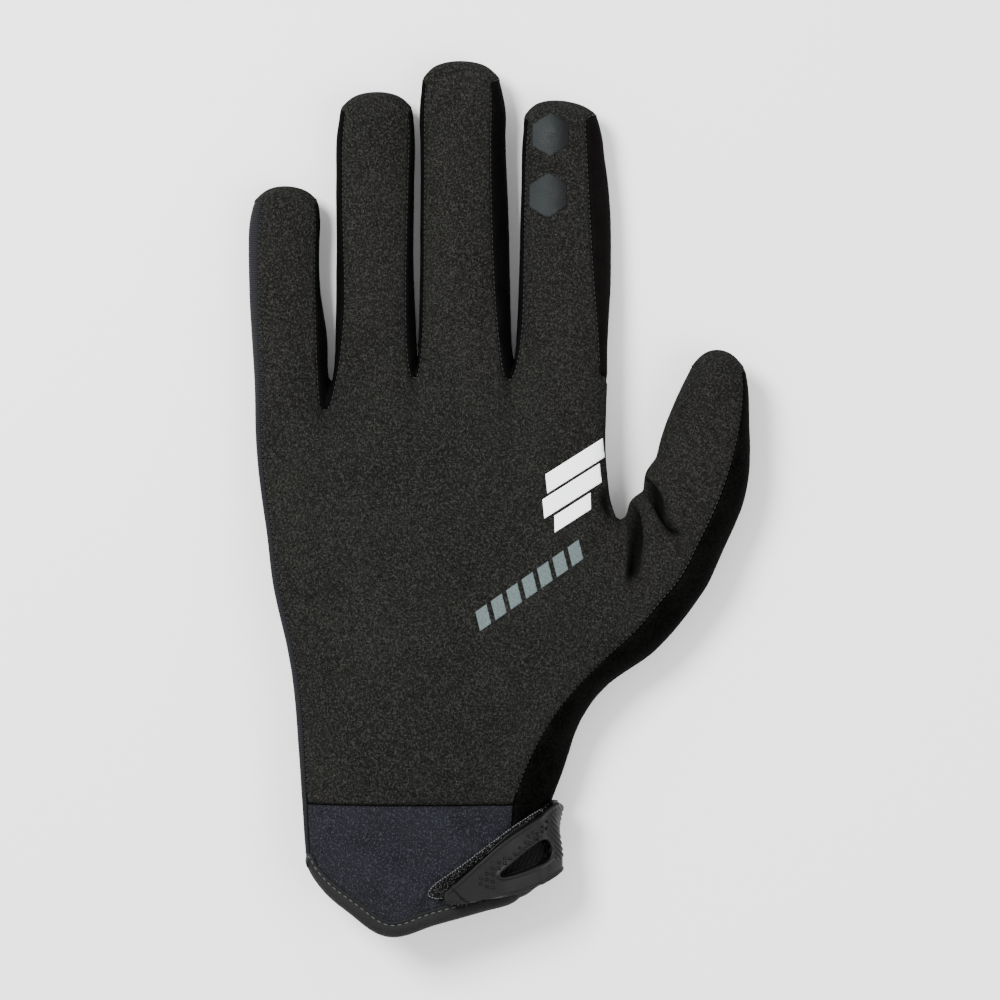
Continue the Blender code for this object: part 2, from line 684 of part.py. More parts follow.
class CuffSkin:
    # Places on the cuff's outside, by the way across it and the distance below the cuff seam. The
    # way across is the plain X where the cloth faces the palm side, and runs on round the thumb
    # edge and along the back as the length of the cloth.
    steps = 96           # in half a turn round the cuff
    before = 32          # steps to the left of the top
    past = 16            # steps beyond the bottom
    soft = 7             # neighbours on each side that a normal is averaged over
    stride = 0.5
    turnStart = 0.7      # heights over the middle, in half depths, between which the way across
    turnEnd = 0.2        # turns from plain X into the length of the cloth

    def __init__(self, points, faces):
        self.tree = BVHTree.FromPolygons(points, faces)
        self.profiles = {}

    def meet(self, centre, out):
        # Past the cuff's mouth the cloth is taken as running straight on.
        normal = None
        beyond = 0.0
        while normal is None:
            start = centre + out * palmWidth + Vector((0.0, beyond, 0.0))
            spot, normal, _face, _distance = self.tree.ray_cast(start, -out, palmWidth)
            beyond += self.stride
        return Vector((spot.x, centre.y, spot.z)), normal

    def profile(self, y):
        key = round(y, 3)
        if key not in self.profiles:
            centre = Vector((0.0, y, (palmDepth + cuffLift) / 2))
            met = []
            way = 0.0
            for step in range(-self.before, self.steps + self.past):
                turn = math.pi * step / self.steps
                out = Vector((math.sin(turn), 0.0, math.cos(turn)))
                met.append(self.meet(centre, out))
            stops = []
            for number, (spot, _normal) in enumerate(met):
                near = met[max(0, number - self.soft):number + self.soft + 1]
                normal = sum((other for _spot, other in near), Vector()).normalized()
                stops.append([0.0, spot, normal])
            zero = self.before
            for number in range(zero + 1, len(stops)):
                spot = stops[number][1]
                gone = spot - stops[number - 1][1]
                rise = (spot.z - centre.z) * 2.0 / (palmDepth - cuffLift)
                facing = min(1.0, max(0.0, (rise - self.turnEnd) / (self.turnStart - self.turnEnd)))
                way += between(gone.length, abs(gone.x), facing)
                stops[number][0] = way
            for number in range(zero):
                stops[number][0] = stops[number][1].x
            shift = stops[zero][1].x
            for stop in stops[zero:]:
                stop[0] += shift
            self.profiles[key] = stops
        return self.profiles[key]

    def place(self, across, y, lift):
        stops = self.profile(y)
        for low, high in zip(stops, stops[1:]):
            if across <= high[0]:
                break
        share = (across - low[0]) / (high[0] - low[0])
        normal = low[2].lerp(high[2], share).normalized()
        return low[1].lerp(high[1], share) + normal * lift


def addClosurePiece(collection, name, stations, skin, lift, wall, gapFirst=None, gapLast=None):
    # Sheet laid round the cuff through rows of places, with an opening in its middle strip.
    rows = len(stations[0])
    flat = [Vector((across * palmWidth, -drop * cuffLength, 0.0))
            for station in stations for across, drop in station]
    faces = []
    for number in range(len(stations) - 1):
        for k in range(rows - 1):
            if gapFirst is not None and k == 1 and gapFirst <= number < gapLast:
                continue
            a = number * rows + k
            faces.append((a, a + 1, a + rows + 1, a + rows))
    net = netObject(flat, faces)
    points, fine = smoothed(net)
    dropNet(net)
    outer = [skin.place(point.x, point.y, lift + wall) for point in points]
    inner = [skin.place(point.x, point.y, lift) for point in points]
    return closedPiece(collection, name, fine, outer, inner, looks[name])


def addHexagons(collection, points, faces):
    # Two pointed-top hexagons printed on the index fingertip, one below the other.
    tree = BVHTree.FromPolygons(points, faces)
    finger = fingers[3]
    x = finger.root * palmWidth + hexagonAcross * finger.width
    top = palmLength + finger.length * (1.0 - hexagonBelowTip)
    above = 2.0 * palmDepth
    around = hexagonSpokes
    for number in range(hexagonCount):
        middle = Vector((x, top - number * hexagonPitch, 0.0))
        spots = [middle]
        for ring in range(1, hexagonRings + 1):
            for k in range(around):
                turn = math.tau * k / around + math.pi / 2
                side = math.cos(math.pi / 6) if k % 2 else 1.0
                reach = side * hexagonHeight / 2 * ring / hexagonRings
                spots.append(middle + Vector((math.cos(turn), math.sin(turn), 0.0)) * reach)
        flat = [(0, 1 + k, 1 + (k + 1) % around) for k in range(around)]
        for ring in range(hexagonRings - 1):
            a = 1 + ring * around
            for k in range(around):
                after = (k + 1) % around
                flat.append((a + k, a + around + k, a + around + after, a + after))
        outer = []
        inner = []
        for spot in spots:
            seat, normal, _face, _distance = tree.ray_cast(spot + Vector((0, 0, above)),
                                                           Vector((0, 0, -1)))
            outer.append(seat + normal * (printGap + printWall))
            inner.append(seat + normal * printGap)
        name = "grip_hexagon_" + str(number + 1)
        closedPiece(collection, name, flat, outer, inner, looks["grip_hexagon"])


def centreOnFloor(collection):
    # Puts the origin under the middle of the glove's box.
    corners = [vertex.co for piece in collection.objects for vertex in piece.data.vertices]
    low = Vector(min(corner[axis] for corner in corners) for axis in range(3))
    high = Vector(max(corner[axis] for corner in corners) for axis in range(3))
    shift = Vector(((low.x + high.x) / 2, (low.y + high.y) / 2, low.z))
    for piece in collection.objects:
        for vertex in piece.data.vertices:
            vertex.co -= shift


def main():
    for old in list(bpy.data.objects):
        bpy.data.objects.remove(old)
    collection = bpy.data.collections.new("motocross_glove")
    bpy.context.scene.collection.children.link(collection)
    cage = Cage()
    addFingers(cage)
    addPalm(cage)
    addCuff(cage)
    addThumb(cage)
    joinPalm(cage)
    joinFingers(cage)
    joinThumb(cage)
    points, faces, panels = fittedSkin(cage)
    normals = outwardNormals(points, faces)
    addPanels(collection, points, faces, panels, normals)
    addBinding(collection, points, faces, normals)
    skin = CuffSkin(points, faces)
    addClosurePiece(collection, "closure_strap", strapStations, skin, closureGap, strapWall)
    addClosurePiece(collection, "closure_tab", tabStations, skin, closureGap + strapWall + tabGap,
                    tabWall, windowFirst, windowLast)
    addHexagons(collection, points, faces)
    centreOnFloor(collection)


main()
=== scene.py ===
# Motocross glove for the right hand, palm up: cloth, seams, closure and prints in a pale studio.
import math
import random

import bmesh
import bpy
import numpy as np
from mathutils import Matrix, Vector, noise
from mathutils.bvhtree import BVHTree
from mathutils.kdtree import KDTree


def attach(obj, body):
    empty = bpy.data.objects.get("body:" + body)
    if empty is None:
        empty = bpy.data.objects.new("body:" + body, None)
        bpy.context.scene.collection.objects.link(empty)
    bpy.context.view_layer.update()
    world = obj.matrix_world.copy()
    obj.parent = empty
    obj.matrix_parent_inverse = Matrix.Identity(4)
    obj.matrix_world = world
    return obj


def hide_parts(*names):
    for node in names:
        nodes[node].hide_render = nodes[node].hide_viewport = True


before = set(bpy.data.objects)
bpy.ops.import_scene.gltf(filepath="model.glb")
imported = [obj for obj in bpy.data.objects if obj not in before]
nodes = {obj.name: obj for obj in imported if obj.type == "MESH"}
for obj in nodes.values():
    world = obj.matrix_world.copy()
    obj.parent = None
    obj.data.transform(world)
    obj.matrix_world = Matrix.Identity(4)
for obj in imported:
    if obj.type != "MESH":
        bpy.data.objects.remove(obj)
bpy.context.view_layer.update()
scene = bpy.context.scene
mm = 0.001
random.seed(4)


# Places on the palm are read in pixels of the photograph, seen straight from above
photo = {"origin": (498.5, 498.5), "middle": (500, 500), "width": 1000, "pixel": 0.284}
lens = {"length": 150.0, "sensor": 36.0, "nearest": 0.05}
outlineHeight = 9.0          # where the glove's outline is widest, in mm
lensDistance = photo["width"] * photo["pixel"] * lens["length"] / lens["sensor"]


def spot(across, down):
    # Millimetres from the glove's middle
    return ((across - photo["origin"][0]) * photo["pixel"], (photo["origin"][1] - down) * photo["pixel"])


def track(*pixels):
    return np.array([spot(*pixel) for pixel in pixels])


# Shader sockets with plain arithmetic
class Wire:
    def __init__(self, look, socket):
        self.look = look
        self.socket = socket

    def __add__(self, other):
        return self.look.math("ADD", self, other)

    def __sub__(self, other):
        return self.look.math("SUBTRACT", self, other)

    def __mul__(self, other):
        return self.look.math("MULTIPLY", self, other)

    def __radd__(self, other):
        return self.look.math("ADD", other, self)

    def __rsub__(self, other):
        return self.look.math("SUBTRACT", other, self)

    def __rmul__(self, other):
        return self.look.math("MULTIPLY", other, self)

    def between(self, low, high):
        # 0 below low, 1 above high
        return self.look.node("MapRange", {"interpolation_type": "SMOOTHSTEP"},
                              {"Value": self, "From Min": low, "From Max": high})


class Look:
    mixSockets = {"share": 0, "first": 6, "second": 7, "result": 2}

    def __init__(self, name, roughness, specular):
        self.material = bpy.data.materials.new(name)
        self.material.use_nodes = True
        self.tree = self.material.node_tree
        self.shader = self.tree.nodes["Principled BSDF"]
        self.shader.inputs["Roughness"].default_value = roughness
        self.shader.inputs["Specular IOR Level"].default_value = specular

    def put(self, socket, value):
        if isinstance(value, Wire):
            self.tree.links.new(value.socket, socket)
        else:
            socket.default_value = value

    def node(self, kind, settings=None, values=None, output=0):
        made = self.tree.nodes.new("ShaderNode" + kind)
        for key, value in (settings or {}).items():
            setattr(made, key, value)
        for key, value in (values or {}).items():
            self.put(made.inputs[key], value)
        return Wire(self, made.outputs[output])

    def math(self, operation, *values):
        return self.node("Math", {"operation": operation}, dict(enumerate(values)))

    def place(self):
        return self.node("TexCoord", output="Object")

    def turned(self, at, scale=(1, 1, 1), rotation=(0, 0, 0)):
        return self.node("Mapping", None, {"Vector": at, "Scale": scale, "Rotation": rotation})

    def cloud(self, at, size, detail=2.0, roughness=0.5):
        # Noise whose blots are about size millimetres wide
        return self.node("TexNoise", None, {"Vector": at, "Scale": 1 / (size * mm), "Detail": detail,
                                            "Roughness": roughness})

    def bands(self, at, direction, size, distortion, detail=1.0, detailScale=1.0):
        # Even ribs that run across the named axis
        return self.node("TexWave", {"wave_type": "BANDS", "bands_direction": direction},
                         {"Vector": at, "Scale": 1 / (size * mm), "Distortion": distortion,
                          "Detail": detail, "Detail Scale": detailScale})

    def mix(self, share, first, second):
        made = self.tree.nodes.new("ShaderNodeMix")
        made.data_type = "RGBA"
        self.put(made.inputs[self.mixSockets["share"]], share)
        for key, colour in (("first", first), ("second", second)):
            self.put(made.inputs[self.mixSockets[key]], colour if isinstance(colour, Wire) else (*colour, 1))
        return Wire(self, made.outputs[self.mixSockets["result"]])

    def finish(self, colour, height=None, depth=0.2, roughness=None):
        # depth is the bump's height in millimetres
        self.put(self.shader.inputs["Base Color"], colour)
        if roughness is not None:
            self.put(self.shader.inputs["Roughness"], roughness)
        if height is not None:
            bump = self.node("Bump", None, {"Height": height, "Distance": depth * mm})
            self.put(self.shader.inputs["Normal"], bump)
        return self.material


# Base colours; a pair is the dark and the pale end of one surface
tones = {
    "suede": {
        "ground": (0.0042, 0.0042, 0.0038),
        "over": (0.0083, 0.0082, 0.0075),
        "pit": (0.0017, 0.0017, 0.0015),
        "fibre": (0.0275, 0.0275, 0.0252),
        "speck": (0.0600, 0.0600, 0.0550),
        # painted shade: the colour that darkens the ground of deep folds, where shade falls
        "creaseShade": (0.0009, 0.0009, 0.0009),
    },
    "knit": {
        "dark": (0.0036, 0.0038, 0.0053),
        "pale": (0.0064, 0.0067, 0.0090),
        "fleck": (0.0275, 0.0285, 0.0355),
    },
    "print": {
        "shadedSide": (0.0010, 0.0012, 0.0012),
        # painted shade at the print's right and painted light at its left
        "litSide": (0.0140, 0.0168, 0.0178),
        "grain": (0.0036, 0.0040, 0.0040),
    },
    "ribbed": ((0.0030, 0.0031, 0.0037), (0.0125, 0.0130, 0.0150)),
    "fingerSide": ((0.0010, 0.0010, 0.0010), (0.0034, 0.0033, 0.0033)),
    "indexSide": ((0.0019, 0.0014, 0.0014), (0.0046, 0.0037, 0.0037)),
    "thumbSide": ((0.0003, 0.0003, 0.0003), (0.0038, 0.0039, 0.0033)),
    "back": ((0.0040, 0.0040, 0.0050), (0.0125, 0.0125, 0.0150)),
    "binding": ((0.0036, 0.0036, 0.0037), (0.0135, 0.0135, 0.0140)),
    "rubber": ((0.0022, 0.0023, 0.0021), (0.0044, 0.0046, 0.0042)),
    "strap": ((0.0006, 0.0006, 0.0006), (0.0048, 0.0048, 0.0050)),
    "white": ((0.86, 0.88, 0.88), (0.95, 0.96, 0.96)),
    "grey": ((0.050, 0.066, 0.068), (0.076, 0.100, 0.101)),
    "floor": ((0.86, 0.86, 0.86), (0.90, 0.90, 0.90)),
    "darkThread": (0.0110, 0.0110, 0.0112),
    "paleThread": (0.042, 0.044, 0.045),
    "edgeThread": (0.11, 0.115, 0.115),
    "fuzz": (0.0060, 0.0060, 0.0060),
}
threadSheen = 1.5            # how much paler a thread's grain gets


def suedeLook():
    # Short brushed nap: pale fibre ends over dark ones, with soft patches where it lies over
    look = Look("suede", 0.95, specular=0.05)
    tone = tones["suede"]
    at = look.place()
    patches = look.cloud(at, 24, detail=3, roughness=0.6).between(0.3, 0.7)
    blots = look.cloud(at, 2.6, detail=3, roughness=0.65).between(0.3, 0.7)
    leanLeft = look.turned(at, (1, 0.55, 1), (0, 0, 0.6))
    leanRight = look.turned(at, (0.6, 1, 1), (0, 0, 0.35))
    ends = look.cloud(leanLeft, 0.42, detail=1, roughness=0.6).between(0.50, 0.74)
    others = look.cloud(leanRight, 0.50, detail=1, roughness=0.6).between(0.52, 0.76)
    pits = look.cloud(at, 0.6, detail=2, roughness=0.6).between(0.34, 0.56)
    nap = look.math("MAXIMUM", ends, others)
    creaseShade = look.node("Attribute", {"attribute_name": "fold"}, output="Fac")
    specks = look.cloud(at, 0.34, detail=0).between(0.74, 0.84)
    shade = look.mix(patches * 0.5 + blots * 0.3, tone["ground"], tone["over"])
    shade = look.mix((1 - pits) * 0.8, shade, tone["pit"])
    shade = look.mix(nap * 0.66, shade, tone["fibre"])
    shade = look.mix(specks * 0.5, shade, tone["speck"])
    # painted shade darkens the ground of the deep folds
    shade = look.mix(creaseShade * 0.9, shade, tone["creaseShade"])
    return look.finish(shade, nap * 0.6 + pits * 0.5 + blots * 0.4, 0.11)


def knitLook():
    # Navy stretch knit with small pale flecks
    look = Look("cuff knit", 0.85, specular=0.08)
    tone = tones["knit"]
    at = look.place()
    patches = look.cloud(at, 9, detail=3, roughness=0.65).between(0.3, 0.7)
    flecks = look.cloud(look.turned(at, (1, 0.7, 1)), 0.40, detail=1, roughness=0.6).between(0.46, 0.74)
    rows = look.bands(at, "Y", 5.2, distortion=2.5, detail=2.0, detailScale=3.0)
    shade = look.mix(patches, tone["dark"], tone["pale"])
    shade = look.mix(flecks * 0.75, shade, tone["fleck"])
    return look.finish(shade, flecks + rows * 0.4, 0.12)


def ribbedLook():
    # Fine cords across the strip on the little finger's side
    look = Look("ribbed strip", 0.75, specular=0.08)
    at = look.place()
    cords = look.bands(look.turned(at, (1, 1, 0.3), (0, 0, 0.12)), "Y", 2.0, distortion=0.6)
    return look.finish(look.mix(cords, *tones["ribbed"]), cords, 0.16)


def smoothKnitLook(name, dark, pale, size=0.5):
    # Close knit of the finger sides: nearly even, with a fine grain
    look = Look(name, 0.7, specular=0.01)
    at = look.place()
    grain = look.cloud(at, size, detail=2, roughness=0.7).between(0.35, 0.75)
    patches = look.cloud(at, 7, detail=2).between(0.3, 0.7)
    return look.finish(look.mix(grain * 0.5 + patches * 0.3, dark, pale), grain, 0.06)


def backLook():
    # Stretch cloth of the back, in fine crosswise ridges
    look = Look("back cloth", 0.75, specular=0.08)
    at = look.place()
    ridges = look.bands(at, "Y", 6.5, distortion=0.5)
    grain = look.cloud(at, 0.5, detail=2, roughness=0.7).between(0.35, 0.75)
    shade = look.mix(ridges * 0.5 + grain * 0.3, *tones["back"])
    return look.finish(shade, ridges + grain * 0.3, 0.25)


def bindingLook():
    look = Look("binding tape", 0.6, specular=0.12)
    grain = look.cloud(look.place(), 0.35, detail=2, roughness=0.7).between(0.35, 0.75)
    return look.finish(look.mix(grain * 0.6, *tones["binding"]), grain, 0.08)


def rubberLook():
    # Satin moulded rubber, with faint cloudiness and fine pores
    look = Look("tab rubber", 0.42, specular=0.14)
    at = look.place()
    clouds = look.cloud(at, 4, detail=3).between(0.3, 0.7)
    pores = look.cloud(at, 0.25, detail=2, roughness=0.7).between(0.3, 0.7)
    shade = look.mix(clouds * 0.5 + pores * 0.2, *tones["rubber"])
    return look.finish(shade, pores, 0.02, roughness=0.36 + 0.12 * clouds)


def printLook():
    # Satin print on the index fingertip, with painted light making it pale blue-grey at its left and painted
    # shade making it dark to the right
    look = Look("fingertip print", 0.5, specular=0.07)
    tone = tones["print"]
    litBelow, shadedAbove = (spot(pixel, 0)[0] * mm for pixel in (541, 566))
    at = look.place()
    clouds = look.cloud(at, 3.5, detail=3, roughness=0.6).between(0.3, 0.7)
    grain = look.cloud(at, 0.4, detail=2).between(0.4, 0.7)
    across = look.node("SeparateXYZ", None, {"Vector": at}, output="X")
    # painted light and shade: pale at the left, darker towards the right
    shadedSide = across.between(litBelow, shadedAbove)
    litSide = (1 - shadedSide) * 0.85 + clouds * 0.15
    shade = look.mix(litSide, tone["shadedSide"], tone["litSide"])
    shade = look.mix(grain * 0.3, shade, tone["grain"])
    return look.finish(shade, grain, 0.03, roughness=0.44 + 0.14 * clouds)


def inkLook(name, dark, pale):
    # Print on the suede, with a fine grain
    look = Look(name, 0.6, specular=0.2)
    grain = look.cloud(look.place(), 0.5, detail=2, roughness=0.6).between(0.35, 0.7)
    return look.finish(look.mix(grain, dark, pale), grain, 0.04)


def threadLook(name, colour, roughness=0.55, specular=0.2):
    look = Look(name, roughness, specular)
    grain = look.cloud(look.place(), 0.3, detail=1).between(0.3, 0.7)
    shade = look.mix(grain, colour, tuple(min(1.0, c * threadSheen) for c in colour))
    return look.finish(shade, grain, 0.05)


def strapLook():
    # Black knit in fine ribs under the hooks
    look = Look("strap knit", 0.7, specular=0.1)
    at = look.place()
    ribs = look.bands(look.turned(at, (1, 1, 1), (0, 0, 0.35)), "X", 4.0, distortion=1.0)
    grain = look.cloud(at, 0.4, detail=2, roughness=0.7).between(0.35, 0.7)
    shade = look.mix(ribs * 0.6 + grain * 0.3, *tones["strap"])
    return look.finish(shade, ribs + grain * 0.5, 0.22)


looks = {
    "suede": suedeLook(),
    "knit": knitLook(),
    "ribbed": ribbedLook(),
    "fingerSide": smoothKnitLook("finger side knit", *tones["fingerSide"]),
    "indexSide": smoothKnitLook("index side knit", *tones["indexSide"]),
    "thumbSide": smoothKnitLook("thumb side cloth", *tones["thumbSide"], size=0.8),
    "back": backLook(),
    "binding": bindingLook(),
    "rubber": rubberLook(),
    "print": printLook(),
    "white": inkLook("white ink", *tones["white"]),
    "grey": inkLook("grey ink", *tones["grey"]),
    "darkThread": threadLook("black thread", tones["darkThread"]),
    "paleThread": threadLook("pale thread", tones["paleThread"]),
    "edgeThread": threadLook("edge thread", tones["edgeThread"]),
    "fuzz": threadLook("hook fibre", tones["fuzz"], roughness=0.3, specular=0.7),
    "strap": strapLook(),
}
print("materials made:", len(looks))


# Skins of the CAD solids: angles in radians, lengths in mm
skins = {
    "merge": 0.002,          # vertices nearer than this become one
    "flat": 0.9,             # triangles that bend less than this are joined
    "square": 1.2,
    "bend": 0.95,            # an edge sharper than this ends a skin
    "sampled": 3,            # every third face looks for a wall
    "start": 0.2,
    "reach": 60,
}


def everySolid():
    points = []
    faces = []
    for node in nodes.values():
        start = len(points)
        points.extend(vertex.co.copy() for vertex in node.data.vertices)
        faces.extend(tuple(start + i for i in face.vertices) for face in node.data.polygons)
    return BVHTree.FromPolygons(points, faces)


solids = everySolid()


def mergedShape(name):
    shape = bmesh.new()
    shape.from_mesh(nodes[name].data)
    bmesh.ops.remove_doubles(shape, verts=shape.verts, dist=skins["merge"] * mm)
    bmesh.ops.join_triangles(shape, faces=shape.faces, angle_face_threshold=skins["flat"],
                             angle_shape_threshold=skins["square"])
    shape.normal_update()
    return shape


def skinGroups(shape):
    # Faces that meet over gentle edges
    groups = []
    seen = set()
    for first in shape.faces:
        if first in seen:
            continue
        group = [first]
        seen.add(first)
        for face in group:
            for edge in face.edges:
                if edge.calc_face_angle(math.pi) < skins["bend"]:
                    for other in edge.link_faces:
                        if other not in seen:
                            seen.add(other)
                            group.append(other)
        groups.append(group)
    return sorted(groups, key=len, reverse=True)


def lookingIn(group):
    # Share of the faces that see another wall: high for a skin inside the hollow
    sample = group[::skins["sampled"]]
    met = 0
    for face in sample:
        start = face.calc_center_median() + face.normal * skins["start"] * mm
        if solids.ray_cast(start, face.normal, skins["reach"] * mm)[0] is not None:
            met += 1
    return met / len(sample)


def outerSkin(name):
    shape = mergedShape(name)
    groups = skinGroups(shape)
    outer = min(groups[:2], key=lookingIn)
    print(name, "skins:", [len(group) for group in groups[:4]], "outer", len(outer))
    keep = set(outer)
    bmesh.ops.delete(shape, geom=[face for face in shape.faces if face not in keep], context="FACES")
    return shape


def newObject(name, shape, smooth=True):
    mesh = bpy.data.meshes.new(name)
    shape.to_mesh(mesh)
    shape.free()
    if smooth:
        mesh.shade_smooth()
    piece = bpy.data.objects.new(name, mesh)
    scene.collection.objects.link(piece)
    return piece


def finished(piece, look, slot, *replaced):
    piece.data.materials.clear()
    piece.data.materials.append(looks[look])
    if replaced:
        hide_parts(*replaced)
    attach(piece, "root")
    return piece


def smoothed(piece, levels):
    smooth = piece.modifiers.new("smooth", "SUBSURF")
    smooth.levels = levels
    smooth.render_levels = levels
    return smooth


def walled(piece, thickness):
    # The wall grows inward from the outer skin
    wall = piece.modifiers.new("wall", "SOLIDIFY")
    wall.thickness = thickness * mm
    wall.offset = -1


def subdivided(piece, levels):
    # Applies the subdivision, so that the folds are moved into a fine mesh
    smoothed(piece, levels).boundary_smooth = "PRESERVE_CORNERS"
    bpy.context.view_layer.update()
    fine = bpy.data.meshes.new_from_object(piece.evaluated_get(bpy.context.evaluated_depsgraph_get()))
    piece.modifiers.clear()
    old = piece.data
    piece.data = fine
    bpy.data.meshes.remove(old)
    return piece


def readPoints(piece):
    places = np.zeros(len(piece.data.vertices) * 3)
    piece.data.vertices.foreach_get("co", places)
    normals = np.zeros(len(piece.data.vertices) * 3)
    piece.data.vertices.foreach_get("normal", normals)
    return places.reshape(-1, 3) / mm, normals.reshape(-1, 3)


def writePoints(piece, places):
    # Nothing reaches below the floor
    places[:, 2] = np.maximum(places[:, 2], 0.0)
    piece.data.vertices.foreach_set("co", (places * mm).ravel())
    piece.data.update()


def rimVertices(piece):
    count = {}
    for face in piece.data.polygons:
        for key in face.edge_keys:
            count[key] = count.get(key, 0) + 1
    return {i for key, uses in count.items() if uses == 1 for i in key}


# Folds drawn on the palm side: a path in photo pixels, depth and half width in mm, how much steeper
# the flank on the path's right is (below 1 its left is the steep one), how far from the ends it fades
folds = (
    # name, path, depth, half width, steepness, fade
    ("thumb crease upper", track((641, 474), (650, 486), (658, 501), (665, 518), (679, 538)),
     3.6, 2.9, 0.5, 0.18),
    ("thumb crease fork", track((668, 520), (674, 534), (684, 548), (695, 556)), 0.7, 3.2, 1.0, 0.5),
    ("thumb crease lower", track((624, 497), (629, 512), (632, 530), (632, 552), (629, 586)),
     3.9, 3.4, 2.0, 0.24),
    ("thumb crease edge", track((637, 489), (637, 500), (636, 512)), 0.5, 0.9, 1.0, 0.4),
    ("thumb puff upper", track((662, 480), (672, 497), (680, 517), (690, 532)), -1.2, 4.2, 1.0, 0.45),
    ("thumb puff lower", track((641, 498), (648, 518), (650, 540), (645, 562)), -1.3, 4.0, 1.0, 0.45),
    ("web roll", track((612, 530), (624, 545), (626, 570), (620, 600)), -0.5, 6.0, 1.0, 0.5),
    ("ring root dent", track((352, 366), (372, 357), (396, 350)), 0.7, 5.5, 1.0, 0.5),
    ("middle root dent", track((432, 345), (456, 335), (482, 333)), 0.6, 5.5, 1.0, 0.5),
    ("index root dent", track((526, 345), (548, 352), (574, 365)), 0.7, 5.0, 1.0, 0.5),
    ("palm fold middle", track((420, 410), (428, 385), (438, 372)), 0.5, 5.0, 1.0, 0.5),
    ("palm fold index", track((520, 395), (545, 398), (575, 412)), 0.5, 5.0, 1.0, 0.5),
    ("palm fold little", track((300, 420), (330, 428), (360, 424)), 0.5, 6.0, 1.0, 0.5),
    ("palm hollow", track((420, 560), (455, 600), (470, 650)), 0.8, 16.0, 1.0, 0.6),
    ("thumb heel", track((560, 600), (535, 650), (515, 700)), -0.6, 12.0, 1.0, 0.6),
    ("thumb joint", track((690, 440), (715, 452), (738, 450)), 0.4, 3.0, 1.0, 0.5),
    ("index seam end", track((604, 490), (608, 504), (614, 519)), 1.4, 2.6, 1.0, 0.3),
)
foldShape = {
    "flank": 1.5,            # power of the flanks' roundness
    "end": 0.15,             # share of the depth that is left at a path's ends
    "dark": 1.0,             # folds deeper than this get painted shade in their ground, in mm
    "groundFrom": 0.25,      # share of the depth where the painted shade begins
    "groundOver": 0.6,
}
farAway = 1e9


def nearPath(spots, path):
    # Distance from a path, its side (1 right, -1 left) and the share of its length that is passed
    steps = np.linalg.norm(np.diff(path, axis=0), axis=1)
    length = steps.sum()
    best = np.full(len(spots), farAway)
    side = np.zeros(len(spots))
    along = np.zeros(len(spots))
    gone = 0.0
    for start, end, step in zip(path, path[1:], steps):
        run = (end - start) / step
        way = np.clip((spots - start) @ run, 0, step)
        off = spots - start - way[:, None] * run
        distance = np.linalg.norm(off, axis=1)
        closer = distance < best
        best[closer] = distance[closer]
        side[closer] = np.sign(run[1] * off[closer, 0] - run[0] * off[closer, 1])
        along[closer] = (gone + way[closer]) / length
        gone += step
    return best, side, along


def foldDrop(places):
    # How far the folds sink every place, and how much painted shade darkens their ground
    total = np.zeros(len(places))
    creaseShade = np.zeros(len(places))
    at = places[:, :2]
    for name, path, depth, half, steep, fade in folds:
        near = np.all((at > path.min(0) - 2 * half) & (at < path.max(0) + 2 * half), axis=1)
        if not near.any():
            continue
        distance, side, along = nearPath(at[near], path)
        width = np.where(side > 0, half / max(steep, 1), half * min(steep, 1))
        inside = np.clip(1 - (distance / width) ** 2, 0, 1) ** foldShape["flank"]
        ends = np.clip(np.minimum(along, 1 - along) / fade, 0, 1)
        ends = foldShape["end"] + (1 - foldShape["end"]) * ends * ends * (3 - 2 * ends)
        total[near] += depth * inside * ends
        # deep folds get painted shade in their ground
        if depth > foldShape["dark"]:
            ground = np.clip((inside - foldShape["groundFrom"]) / foldShape["groundOver"], 0, 1) * ends
            creaseShade[near] = np.maximum(creaseShade[near], ground)
    return total, creaseShade


# Fingertips are filled out to their squarish ends: middle of the top and the reach to both sides in
# photo pixels, length worked on in mm, how much wider and how much longer the very end becomes
tips = (
    ("little", spot(285, 185), (240, 328), 10.0, 0.24, 0.75),
    ("ring", spot(376, 92), (328, 418), 11.0, 0.33, 0.85),
    ("middle", spot(462, 61), (418, 515), 11.0, 0.33, 0.85),
    ("index", spot(558, 100), (515, 620), 11.0, 0.33, 0.75),
    ("thumb", spot(715, 348), (660, 790), 11.0, 0.20, 0.80),
)
tipLimit = 1.1               # growth goes on a little past the top

# Where the cloth stands out further sideways: middle, radius, amount
swells = (
    ("thumb ball", spot(742, 500), 24.0, 1.1),
    ("thumb heel", spot(704, 585), 22.0, 1.3),
    ("thumb heel end", spot(655, 645), 18.0, 1.5),
    ("thumb puff", spot(646, 474), 6.0, 1.9),
    ("web puff", spot(633, 503), 5.0, 1.2),
    ("wrist", spot(562, 765), 16.0, 1.1),
    ("index side", spot(609, 210), 30.0, 0.9),
    ("index tip side", spot(596, 125), 10.0, 0.9),
    ("index root side", spot(608, 300), 16.0, 0.5),
    ("middle side", spot(505, 110), 9.0, 0.5),
)


def filledOut(places, normals):
    # Applied alike to every panel, so that the seams stay together
    moved = places.copy()
    for name, top, sides, reach, wider, longer in tips:
        near = np.clip((places[:, 1] - top[1] + reach) / reach, 0, tipLimit)
        low, high = (spot(side, 0)[0] for side in sides)
        near[(places[:, 0] < low) | (places[:, 0] > high)] = 0.0
        moved[:, 0] += (places[:, 0] - top[0]) * wider * near ** 3
        moved[:, 1] += longer * near ** 2
    flat = normals[:, :2]
    for name, middle, radius, amount in swells:
        gone = np.linalg.norm(places[:, :2] - np.array(middle), axis=1) / radius
        share = np.clip(1 - gone ** 2, 0, 1) ** 2
        moved[:, :2] += flat * (share * amount)[:, None]
    return moved


